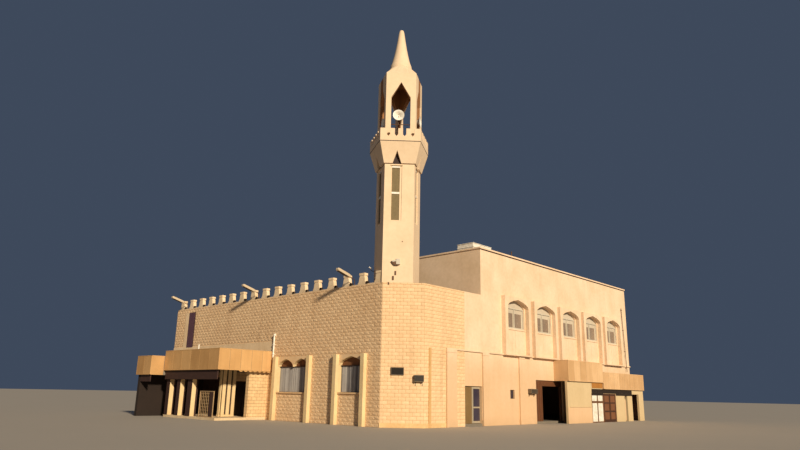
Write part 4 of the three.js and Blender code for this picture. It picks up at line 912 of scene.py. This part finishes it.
pale_frame = mottled("pale_casement", 0.5, (176, 168, 152), (214, 206, 190), (3.0, 5.0), (40.0, 0.001))
casements.piece("hall_casements", pale_frame, "metal", bevel=0.005)
pale_board = mottled("pale_board", 0.85, (176, 164, 146), (214, 202, 182), (0.8, 5.0), (30.0, 0.002))
window_boards.piece("hall_window_boards", pale_board, "plaster")
dull_pane = mottled("dull_pane", 0.22, (116, 100, 88), (158, 140, 122), (1.1, 4.0), smear=(0.3, 0.1))
hall_panes.piece("hall_casement_glass", dull_pane, "glass")
for near, far in PILASTERS:
    a, b = left_face + near, left_face + far
    trim.plate(right, (a - 0.03, b + 0.03), (0.0, 0.35), 0.0, 0.13)
    trim.plate(right, (a - 0.02, b + 0.02), (STRING_BOTTOM - 0.16, STRING_BOTTOM - 0.02), 0.0, 0.125)
trim.piece("pilaster_mouldings", plaster, "plaster", bevel=0.008)
low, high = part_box("hall_coping")
# A near-black strip just under the coping is painted shadow, for the shade under its lip.
coping_shadow_line = Stock().plate(right, inset((low.x, high.x), 0.02), (low.z - 0.06, low.z - 0.002), 0.0, 0.03)
coping_shadow_line.piece("coping_painted_shadow", shadow_board, "plaster", bevel=0.004)

iron = mottled("brown_iron", 0.6, (72, 48, 32), (112, 78, 52), (14.0, 5.0), metallic=0.3)
conduit = Stock().bar(right.at(*CONDUIT_HEAD), right.at(*CONDUIT_FOOT), 0.026, 8)
for share in (0.03, 0.35, 0.68, 0.94):
    u, z = (head + (foot - head) * share for head, foot in zip(CONDUIT_HEAD[:2], CONDUIT_FOOT))
    conduit.plate(right, centred(u, 0.04), centred(z, 0.015), 0.0, 0.14)
conduit.piece("wall_conduit", iron, "metal")


# Frames of the windows in the two walls away from the streets: painted metal bars with one
# mullion and a transom at the springing, set deep in the wall before the glass.
BACK_FIRST, BACK_COUNT = 2.6, 6
END_FIRST, END_COUNT = 10.6, 3
PLAIN_WIDTH, PLAIN_PITCH, PLAIN_SILL, PLAIN_SPRING, PLAIN_APEX = 1.95, 4.6, 1.8, 3.35, 3.83
PLAIN_BAR, PLAIN_BACK = 0.06, -0.25
HALL_END_MIDDLE = 4.45

back = Face((left_face, wing_end), (1, 0), (0, 1))
far_end = Face((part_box("end_wall")[1].x, right_face), (0, 1), (1, 0))
plain = [(back, BACK_FIRST + i * PLAIN_PITCH) for i in range(BACK_COUNT)]
plain += [(far_end, END_FIRST + i * PLAIN_PITCH) for i in range(END_COUNT)]
plain_frames = Stock()
for face, a in plain:
    casement(plain_frames, face, (a, a + PLAIN_WIDTH), PLAIN_SILL, PLAIN_SPRING, PLAIN_BAR, PLAIN_BACK,
             PLAIN_APEX - 0.05)
casement(plain_frames, far_end, centred(HALL_END_MIDDLE, CASEMENT_HALF), CASEMENT_SILL, CASEMENT_SPRING,
         PLAIN_BAR, PLAIN_BACK, CASEMENT_APEX - 0.05)
plain_frames.piece("plain_window_frames", frame_metal, "metal", bevel=0.005)


# Small window and box cooler in the right facade, low between the pilasters. The cooler
# hangs on two brackets and has louvres over its front.
SMALL_ALONG, SMALL_HEIGHTS = (left_face + 10.2, left_face + 10.7), (1.6, 2.15)
SMALL_BAR, SMALL_MULLION = 0.04, 0.03
BOX_ALONG, BOX_HEIGHTS, BOX_DEPTH = (left_face + 12.3, left_face + 13.1), (1.95, 2.25), 0.28

Stock().rim(right, SMALL_ALONG, SMALL_HEIGHTS, SMALL_BAR, -0.14, -0.10, SMALL_MULLION).piece(
    "small_window_frame", frame_metal, "metal", bevel=0.004)
Stock().plate(right, inset(SMALL_ALONG, SMALL_BAR), inset(SMALL_HEIGHTS, SMALL_BAR), -0.13, -0.12).piece(
    "small_window_glass", dark_glass, "glass")
# The box cooler's casing is the same dull brown, partly painted shade.
Stock().plate(right, BOX_ALONG, BOX_HEIGHTS, 0.02, BOX_DEPTH).piece("box_cooler", casing_painted_shade, "metal", bevel=0.01)
box_louvres = Stock()
foot = BOX_HEIGHTS[0]
for z in steps(foot + 0.04, BOX_HEIGHTS[1] - 0.04, 0.03):
    box_louvres.plate(right, inset(BOX_ALONG, 0.04), (z, z + 0.012), BOX_DEPTH, BOX_DEPTH + 0.012)
for u in inset(BOX_ALONG, 0.1):
    box_louvres.plate(right, centred(u, 0.015), (foot - 0.2, foot), 0.0, 0.03)
    box_louvres.plate(right, centred(u, 0.015), (foot - 0.03, foot), 0.03, BOX_DEPTH - 0.03)
box_louvres.piece("box_cooler_louvres", dark_fins, "metal")


# Metal doors beside the corner: a sheet leaf with pressed panels on the left and a leaf
# with dark glass over a mid rail on the right. Each detail rides on its own leaf.
HINGE_CLEAR = 0.08
LEAF_HEIGHTS = (0.17, 2.27)
PRESSED_HEIGHTS, LIGHT_HEIGHTS = ((0.32, 0.95), (1.08, 2.12)), ((0.30, 1.02), (1.12, 2.14))
LEAF_RAILS = (0.17, 0.29), (1.03, 1.11), (2.15, 2.27)


def pull_handle(stock, x, front, back, heights, radius, posts, post_radius):
    """An upright grip held off a leaf by two posts."""
    stock.bar((x, front, heights[0]), (x, front, heights[1]), radius)
    for z in posts:
        stock.bar((x, back, z), (x, front, z), post_radius)
    return stock


door_sheet = mottled("olive_door_sheet", 0.5, (118, 92, 56), (150, 122, 80), (2.5, 6.0, (1.0, 1.0, 0.5)),
                     (40.0, 0.002), 0.2)
steel = mottled("pale_door_steel", 0.4, (178, 164, 140), (206, 194, 172), (20.0, 4.0), metallic=0.35)
dress(door_sheet, "metal_door_left", "metal_door_right")
low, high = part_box("metal_door_left")
leaf_front = street_face(low.y)
along = (low.x + HINGE_CLEAR + 0.03, high.x - 0.12)
pressed = Stock()
for heights in PRESSED_HEIGHTS:
    pressed.plate(leaf_front, along, heights, 0.0, 0.010)
    pressed.plate(leaf_front, inset(along, 0.06), inset(heights, 0.06), 0.010, 0.016)
pressed.piece("metal_leaf_panels", door_sheet, "metal", body="left_metal_leaf", bevel=0.003)
pull = pull_handle(Stock(), high.x - 0.06, low.y - 0.035, low.y, (0.95, 1.2), 0.012, (0.96, 1.19), 0.008)
pull.plate(leaf_front, (high.x - 0.035, high.x - 0.003), LEAF_HEIGHTS, 0.0, 0.014)
pull.piece("metal_leaf_pull", steel, "metal", body="left_metal_leaf")

low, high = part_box("metal_door_right")
leaf_front = street_face(low.y)
lights = Stock()
for heights in LIGHT_HEIGHTS:
    lights.plate(leaf_front, (low.x + 0.11, high.x - HINGE_CLEAR - 0.02), heights, 0.0, 0.004)
lights.piece("metal_leaf_glass", dark_glass, "glass", body="right_metal_leaf")
stiles = Stock()
a, b = low.x + 0.10, high.x - HINGE_CLEAR - 0.01
for along in ((low.x + 0.004, a), (b, b + 0.04)):
    stiles.plate(leaf_front, along, LEAF_HEIGHTS, 0.0, 0.012)
for heights in LEAF_RAILS:
    stiles.plate(leaf_front, (a, b), heights, 0.0, 0.012)
stiles.piece("metal_leaf_stiles", steel, "metal", body="right_metal_leaf", bevel=0.003)


# Portal. A heavy stained timber frame round a dark opening, with planted mouldings on its
# faces. Timber grain runs up the posts.
PORTAL_BEADS, BEAD_WIDTH = (0.06, 0.30, 0.54, 0.80, 3.44), 0.07


def timber_finish(name, dark, light, roughness=0.5):
    look, shader, place = finish(name, roughness)
    grain = place.cloud(9.0, 6.0, (6.0, 6.0, 0.35))
    tone = grain * 0.7 + place.cloud(1.2, 3.0) * 0.3
    tone.ramp((0.3, 0.0), (0.7, 1.0)).between(dark, light).feed(shader)
    grain.relief(shader, 0.003, 0.6)
    return look


timber = timber_finish("stained_timber", (82, 48, 28), (120, 76, 46), 0.55)
dress(timber, "portal_frame")
low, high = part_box("portal_frame")
beads = Stock()
for start in (low.x + near for near in PORTAL_BEADS):
    beads.plate(street_face(low.y), (start, start + BEAD_WIDTH), (0.2, high.z - 0.1), 0.0, 0.025)
beads.piece("portal_mouldings", timber, "timber", bevel=0.006)


# Canopies over the entrance. The left one is clad in wide sheets; the right one, lower,
# in sheets with fine upright ribs. Their front walls are deep.
ENTRANCE_FRONT_WALL = 0.38
SEAM_PITCH = 0.3

pale_fascia = board_finish("pale_fascia_board", (198, 159, 114), (224, 187, 143), (158, 116, 76))
canopy("entrance_canopy_left", pale_fascia, 43, ENTRANCE_FRONT_WALL, street=6, left=1)
canopy("entrance_canopy_right", pale_fascia, 44, ENTRANCE_FRONT_WALL, SEAM_PITCH, street=8, left=1, right=1)


# Entrance front. A plastered screen wall with a ledge, a gold-brown board and a dark
# shutter band under the canopies, whose near-black is partly painted shade under them, and a
# glazed screen in a brown metal frame.
LEDGE_FOOT, LEDGE_HEIGHT = 1.08, 0.05
SHUTTER_TOP, SHUTTER_PITCH, SHUTTER_SLAT = 2.385, 0.05, 0.045
SHUTTERS = ((7.56, 9.37, 9), (9.37, 11.57, 6), (11.57, 14.5, 9))
PASSAGE_END, PASSAGE_STREET, PASSAGE_HEIGHT, BATTENS = 16.62, -12.52, 2.4, (-12.45, -12.2, -11.95)
GLAZED_EDGE, GLAZED_TRANSOM, GLAZED_DEPTHS = 0.074, 1.45, (-0.019, -0.010)
GOLD_ALONG, GOLD_HEIGHTS = (7.62, 9.25), (2.45, 2.84)

entrance_plaster = plaster_finish("entrance_plaster", (210, 193, 158), (228, 212, 178), (180, 156, 118))
dress(entrance_plaster, "entrance_screen_wall", "entrance_front")
low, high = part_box("entrance_screen_wall")
front = street_face(low.y)
ledge = Stock().plate(front, (low.x + 0.3, high.x - 0.15), (LEDGE_FOOT, LEDGE_FOOT + LEDGE_HEIGHT), 0.0, 0.05)
ledge.piece("screen_wall_ledge", entrance_plaster, "plaster", bevel=0.006)
skirt = Stock().plate(front, (low.x, high.x), (0.0, LEDGE_FOOT), 0.0, 0.012)
skirt.piece("screen_wall_skirt", plaster, "plaster", bevel=0.004)
gold = mottled("gold_brown_board", 0.5, (150, 96, 36), (190, 130, 62), (2.0, 5.0, (1.0, 1.0, 0.3)),
               (30.0, 0.002))
board = Stock().plate(front, GOLD_ALONG, GOLD_HEIGHTS, 0.0, 0.04)
board.piece("gold_board", gold, "timber", bevel=0.008)
shutter = Stock()
for start, end, slats_high in SHUTTERS:
    for i in range(slats_high):
        z = SHUTTER_TOP - i * SHUTTER_PITCH
        shutter.plate(front, (start, end), (z - SHUTTER_SLAT, z), 0.0, 0.03)
shutter.piece("shutter_band", painted_shade_render, "timber", bevel=0.004)
# The passage end board is near-black as painted shade, for the dark passage behind it.
passage = Stock().box((PASSAGE_END, PASSAGE_STREET, 0.0), (PASSAGE_END + 0.04, right_face, PASSAGE_HEIGHT))
for y in BATTENS:
    passage.box((PASSAGE_END - 0.02, y, 0.0), (PASSAGE_END, y + 0.06, PASSAGE_HEIGHT))
passage.piece("passage_end_board", shadow_board, "timber", bevel=0.004)

bronze = mottled("bronze_frame", 0.45, (110, 72, 42), (146, 100, 62), (12.0, 4.0), metallic=0.4)
dress(bronze, "glazed_screen")
low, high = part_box("glazed_screen")
middle = (low.x + high.x) / 2
front, glazed = street_face(low.y), Stock()
for along in ((low.x, middle), (middle, high.x)):
    for heights in ((0.0, GLAZED_TRANSOM), (GLAZED_TRANSOM, high.z)):
        glazed.plate(front, inset(along, GLAZED_EDGE), inset(heights, GLAZED_EDGE), *GLAZED_DEPTHS)
glazed.piece("glazed_screen_panels", enamel, "enamel", bevel=0.003)


# Timber doors. Each leaf has planted stiles and rails round three sunk panels and a
# bronze pull; they ride on their leaf and stay clear of the jambs when it swings.
TIMBER_FRONT, STILE = -12.755, 0.10
RAIL_HEIGHTS = ((0.03, 0.20), (0.72, 0.84), (1.34, 1.44), (1.92, 2.04))

rail_timber = timber_finish("rail_timber", (52, 31, 21), (80, 50, 33))
dress(timber_finish("door_timber", (98, 60, 38), (138, 92, 60)), "timber_door_left", "timber_door_right")
leaf_front = street_face(TIMBER_FRONT)
for side in ("left", "right"):
    low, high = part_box("timber_door_" + side)
    a = low.x + (HINGE_CLEAR if side == "left" else 0.012)
    b = high.x - (HINGE_CLEAR if side == "right" else 0.012)
    planted = Stock()
    for along in ((a, a + STILE), (b - STILE, b)):
        planted.plate(leaf_front, along, (RAIL_HEIGHTS[0][0], RAIL_HEIGHTS[-1][1]), 0.0, 0.012)
    for heights in RAIL_HEIGHTS:
        planted.plate(leaf_front, inset((a, b), STILE), heights, 0.0, 0.012)
    body = side + "_timber_leaf"
    planted.piece("timber_door_%s_rails" % side, rail_timber, "timber", body=body, bevel=0.003)
    grip = b - 0.05 if side == "left" else a + 0.05
    pull = pull_handle(Stock(), grip, TIMBER_FRONT - 0.045, TIMBER_FRONT - 0.012, (0.9, 1.3), 0.012,
                       (0.92, 1.28), 0.009)
    pull.piece("timber_door_%s_pull" % side, bronze, "metal", body=body)


# Minaret. Five equal sides of plastered block. Each side has a tall slot with louvres
# and a plain post beside them, and a cross rail; thin near-black bands part the tiers, painted
# shadow in place of grooves.
TOWER_SIDE, TOWER_OFFSET, TOWER_AXIS, TOWER_SPLAY = 1.78, -0.06, 0.72, math.radians(75)
FLARE_FOOT_SIDE, FLARE_RIM_SIDE, LANTERN_SIDE = 1.90, 2.42, 1.84
SHAFT_TOP, FLARE_TOP = 15.08, 16.36
SLOT_MIDDLE, SLOT_HALF, SLOT_JAMB, SLOT_POST = -0.17, 0.315, 0.03, 0.13
SLOT_SILL, SLOT_HEAD, SLOT_RAIL, RAIL_HEIGHT = 11.55, 14.95, 13.25, 0.12
SLOT_BACK, LOUVRE_PITCH = -0.16, 0.055
LOUVRE = ((0.02, -0.10), (0.03, -0.10), (-0.035, -0.07), (-0.045, -0.07))
NOTCH_HALF, NOTCH_APEX = 0.28, 15.76
LANTERN_REACH, LANTERN_CEILING = 1.262, 21.055


def tower_faces(side):
    """The five faces of the tower for a side length, each measured from its middle."""
    middle = TOWER_OFFSET + TOWER_SIDE / 2
    near = TOWER_AXIS * (TOWER_SIDE - side)
    half = side / 2
    wide = half + side * math.cos(TOWER_SPLAY)
    deep = side * math.sin(TOWER_SPLAY)
    back = deep + math.sqrt(side * side - wide * wide)
    plan = [(half, 0.0), (wide, deep), (0.0, back), (-wide, deep), (-half, 0.0)]
    points = [corner.at(middle + u, 0.0, -(near + w)) for u, w in plan]
    made = []
    for point, following in zip(points, points[1:] + points[:1]):
        way = following - point
        made.append(Face((point + way / 2).xy, way.xy, (way.y, -way.x)))
    return made


tower_axis = corner.at(TOWER_OFFSET + TOWER_SIDE / 2, 0.0, -TOWER_AXIS * TOWER_SIDE)
TOWER_CREAMS = (226, 200, 168), (239, 213, 182), (212, 182, 150)
tower_plaster = plaster_finish("tower_plaster", *TOWER_CREAMS)
dress(tower_plaster, "minaret_foot", "minaret_shaft", "minaret_flare", "balcony_parapet")
# Inside the lantern, within its reach and below its ceiling, the plaster is painted brown: painted shade
# under the lantern roof.
lantern_plaster_painted_shade = plaster_finish("lantern_plaster_painted_shade", *TOWER_CREAMS,
                                 painted_shade_inside=(tower_axis, LANTERN_REACH, LANTERN_CEILING, (158, 110, 70)))
dress(lantern_plaster_painted_shade, "lantern", "lantern_roof")
louvre_board = mottled("louvre_board", 0.7, (120, 104, 74), (150, 132, 96), (5.0, 5.0))
dress(louvre_board, "slot_screens")
slats, posts, rails, slot_heads, painted_shadow_bands, notches = (Stock() for _ in range(6))
a, b = centred(SLOT_MIDDLE, SLOT_HALF)
clear = (a + SLOT_JAMB, b - SLOT_POST)
for face in tower_faces(TOWER_SIDE):
    for z in steps(SLOT_SILL + 0.05, SLOT_HEAD - 0.03, LOUVRE_PITCH):
        slats.sweep([face.at(clear[0], z + up, proud) for up, proud in LOUVRE],
                    face.run * (clear[1] - clear[0]))
    posts.plate(face, (a, clear[0]), (SLOT_SILL, SLOT_HEAD), SLOT_BACK, -0.05)
    posts.plate(face, clear, (SLOT_SILL, SLOT_SILL + 0.04), SLOT_BACK, -0.05)
    posts.plate(face, (clear[1], b), (SLOT_SILL, SLOT_HEAD), SLOT_BACK, -0.04)
    for z in (SLOT_RAIL - RAIL_HEIGHT / 2, SLOT_HEAD - RAIL_HEIGHT):
        rails.plate(face, clear, (z, z + RAIL_HEIGHT), SLOT_BACK, -0.035)
    slot_heads.plate(face, (a - 0.05, b + 0.05), (SLOT_HEAD, SLOT_HEAD + 0.05), 0.0, 0.05)
rails.piece("slot_rails", enamel, "enamel", bevel=0.006)
slats.piece("slot_louvres", louvre_board, "metal")
posts.piece("slot_posts", tower_plaster, "plaster", bevel=0.006)
slot_heads.piece("slot_heads", cast_stone, "plaster", bevel=0.006)
for side, z0, z1 in ((TOWER_SIDE + 0.006, SHAFT_TOP - 0.035, SHAFT_TOP - 0.001),
                     (FLARE_RIM_SIDE + 0.006, FLARE_TOP - 0.02, FLARE_TOP + 0.02)):
    outer = [face.at(-side / 2, z0) for face in tower_faces(side)]
    inner = [face.at(-side / 2 + 0.06, z0) for face in tower_faces(side - 0.12)]
    for i in range(5):
        j = (i + 1) % 5
        painted_shadow_bands.sweep([outer[i], outer[j], inner[j], inner[i]], UP * (z1 - z0))
painted_shadow_bands.piece("tier_painted_shadow_bands", shadow_board, "plaster")
# The maroon panels at the back of the notches under the flare are near-black as painted shade of these
# hollows.
for face in tower_faces(FLARE_FOOT_SIDE):
    foot = [(u, SHAFT_TOP + 0.01) for u in centred(SLOT_MIDDLE, NOTCH_HALF)]
    notches.sheet(face, foot + [(SLOT_MIDDLE, NOTCH_APEX)], SLOT_BACK, -0.12)
notch_painted_shade = mottled("maroon_painted_shade", 0.7, (32, 15, 13), (54, 28, 23), (6.0, 4.0))
notches.piece("notch_panels", notch_painted_shade, "timber")


# Fittings low on the minaret: a lamp box with a dark visor over the street, three rusty
# cramps, a vent plug, and on the shaded side a thin curved arm with a white lamp head.
LAMP_BOX = ((-0.10, 0.13), (8.93, 9.26))
CRAMPS = (((-0.165, -0.075), (8.33, 8.557)), ((-0.302, -0.205), (8.036, 8.264)))
CORNER_CRAMP, PLUG = ((0.296, 0.368), (7.76, 7.9)), (0.244, 10.301)
ARM_PLACE = -0.8
ARM_LINE = ((8.80, 0.0), (8.80, 0.10), (8.87, 0.20), (8.97, 0.28))
LAMP_HOOD = [(-0.39, 9.12), (-0.30, 9.17), (-0.10, 9.17), (-0.10, 9.10), (-0.28, 9.06)]
VISOR = [(-0.37, 9.10), (-0.28, 9.06), (-0.10, 9.10), (-0.10, 8.93), (0.08, 8.93), (0.04, 8.885),
         (-0.18, 8.885), (-0.28, 8.96)]

tower_left, tower_front = tower_faces(TOWER_SIDE)[3:]
lamp_box = Stock().plate(tower_front, *LAMP_BOX, 0.0, 0.15)
lamp_box.sheet(tower_front, LAMP_HOOD, 0.0, 0.16)
lamp_box.piece("tower_lamp_box", pale_frame, "enamel", bevel=0.01)
visor = Stock().sheet(tower_front, VISOR, 0.01, 0.14)
for along, heights in CRAMPS:
    visor.plate(tower_front, along, heights, 0.0, 0.05)
visor.plate(corner, *CORNER_CRAMP, 0.0, 0.06)
visor.bar(tower_front.at(*PLUG), tower_front.at(*PLUG, 0.03), 0.03)
for foot, head in zip(ARM_LINE, ARM_LINE[1:]):
    visor.bar(tower_left.at(ARM_PLACE, *foot), tower_left.at(ARM_PLACE, *head), 0.018, 8)
visor.piece("tower_brackets", iron, "metal")
arm_head = Stock().bar(tower_left.at(ARM_PLACE, 8.95, 0.18), tower_left.at(ARM_PLACE, 9.05, 0.34), 0.035)
arm_head.piece("tower_arm_lamp", enamel, "enamel")


# Spire. A plastered cone with a short rounded shoulder, turned about the tower's axis.
# The outline gives its radius at each height.
SPIRE_OUTLINE = [(0.70, 21.9), (0.695, 22.0), (0.67, 22.15), (0.61, 22.3), (0.565, 22.45), (0.47, 22.85),
                 (0.37, 23.35), (0.27, 23.95), (0.19, 24.5), (0.15, 24.7), (0.125, 24.76), (0.09, 24.79),
                 (0.03, 24.8)]

low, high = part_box("spire")
spire = Stock().turned(tower_axis + UP * low.z, tower_axis + UP * high.z,
                       [(r, (z - low.z) / (high.z - low.z)) for r, z in SPIRE_OUTLINE], 40)
spire.piece("spire_cone", tower_plaster, "plaster", smooth=True, stands_for="spire")


# Loudspeakers. White horns with a dark driver in the throat, one in the front arch of the
# lantern and one in the arch on each side, hung on thin dark rails.
HORN_BELL = [(0.05, 0.0), (0.06, 0.0), (0.075, 0.2), (0.10, 0.45), (0.17, 0.7), (0.27, 0.88), (0.335, 0.97),
             (0.345, 0.985), (0.345, 1.0), (0.32, 0.99), (0.25, 0.90), (0.15, 0.72), (0.08, 0.5),
             (0.02, 0.48)]
HORN_REACH, HORN_RAIL, HORN_RAIL_HALF, HORN_POST_DEPTH = 0.4, 17.64, 0.585, -0.15
HORNS = ((4, -0.13, 0.05, 18.19), (0, 0.07, 0.1, 18.21), (3, 0.24, 0.0, 17.87))  # face, along, proud, top

horns, rails = Stock(), Stock()
for index, along, proud, height in HORNS:
    face = tower_faces(LANTERN_SIDE)[index]
    throat = face.at(along, height, proud - HORN_REACH)
    horns.turned(throat, face.at(along, height, proud), HORN_BELL, 32)
    rails.bar(throat - face.out * 0.1, throat + face.out * 0.18, 0.045)
    rails.bar(face.at(along, HORN_RAIL, HORN_POST_DEPTH), face.at(along, height, HORN_POST_DEPTH), 0.02, 8)
    rails.bar(face.at(-HORN_RAIL_HALF, HORN_RAIL, HORN_POST_DEPTH),
              face.at(HORN_RAIL_HALF, HORN_RAIL, HORN_POST_DEPTH), 0.024, 8)
horns.piece("speaker_horns", enamel, "enamel", smooth=True, stands_for="loudspeakers")
rails.piece("speaker_rails", iron, "metal")


# Floodlights over the left street. Each is a tapered painted housing with a glass face
# on a thin leaning arm, clamped to a post behind the battlements.
HOUSING = [(0.32, 8.375), (0.50, 8.412), (1.31, 8.65), (1.345, 8.72), (1.32, 8.81), (1.22, 8.795),
           (0.45, 8.575), (0.32, 8.51)]
LENS = [(0.50, 8.43), (1.28, 8.66), (1.26, 8.615), (0.53, 8.388)]
HOUSING_HALF, LENS_HALF = 0.118, 0.095
ARM_JOINTS = [(-0.09, merlon_foot), (-0.09, 8.22), (-0.05, 8.30), (0.10, 8.36), (0.36, 8.44)]

housing_paint = mottled("tan_housing", 0.5, (198, 178, 148), (232, 214, 186), (8.0, 5.0), metallic=0.2)
for number in (1, 2, 3):
    low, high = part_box("floodlight_%d" % number)
    face = Face((left_face, (low.y + high.y) / 2), (-1, 0), (0, -1))
    housing = Stock().sheet(face, HOUSING, -HOUSING_HALF, HOUSING_HALF)
    housing.piece("floodlight_housing_%d" % number, housing_paint, "enamel", bevel=0.02,
                  stands_for="floodlight_%d" % number)
    Stock().sheet(face, LENS, -LENS_HALF, LENS_HALF).piece(
        "floodlight_lens_%d" % number, dark_fins, "metal", bevel=0.008)
    arm = Stock()
    for foot, head in zip(ARM_JOINTS, ARM_JOINTS[1:]):
        arm.bar(face.at(*foot), face.at(*head), 0.022, 10)
    arm.plate(face, (-0.14, -0.04), (merlon_foot, merlon_foot + 0.02), -0.05, 0.05)
    arm.piece("floodlight_arm_%d" % number, iron, "metal")


# Water tank on the hall roof. A pressed-sheet tank with ribs and a lid, on two bearers.
# Its layers are given by their edge and their heights over the foot of the tank.
TANK_BEARER, TANK_LID, TANK_RIBS = 0.15, 0.08, (0.45, 0.8, 1.15)

low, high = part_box("roof_tank")
tall = high.z - low.z
layers = [(0.05, TANK_BEARER, tall - TANK_LID), (0.02, tall - TANK_LID, tall - TANK_LID / 2)]
layers += [(0.02, z, z + 0.04) for z in TANK_RIBS]
tank = Stock()
for edge, z0, z1 in layers:
    tank.box((low.x + edge, low.y + edge, low.z + z0), (high.x - edge, high.y - edge, low.z + z1))
for x in (low.x + 0.3, high.x - 0.4):
    tank.box((x, low.y + 0.02, low.z), (x + 0.1, high.y - 0.02, low.z + TANK_BEARER))
tank.piece("water_tank", enamel, "enamel", bevel=0.01, stands_for="roof_tank")


# Roof pole. A short steel pipe with a cap, just behind the hall parapet. Its foot plate is
# let into the coping.
POLE_X, POLE_Y, POLE_TOP = -0.83, -11.6, 11.36

pole_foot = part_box("hall_coping")[1].z - 0.1
pole = Stock().bar((POLE_X, POLE_Y, pole_foot), (POLE_X, POLE_Y, POLE_TOP), 0.035)
pole.bar((POLE_X, POLE_Y, POLE_TOP - 0.03), (POLE_X, POLE_Y, POLE_TOP + 0.02), 0.05)
pole.box((POLE_X - 0.09, POLE_Y - 0.09, pole_foot), (POLE_X + 0.09, POLE_Y + 0.09, pole_foot + 0.115))
pole.piece("roof_pole", iron, "metal")
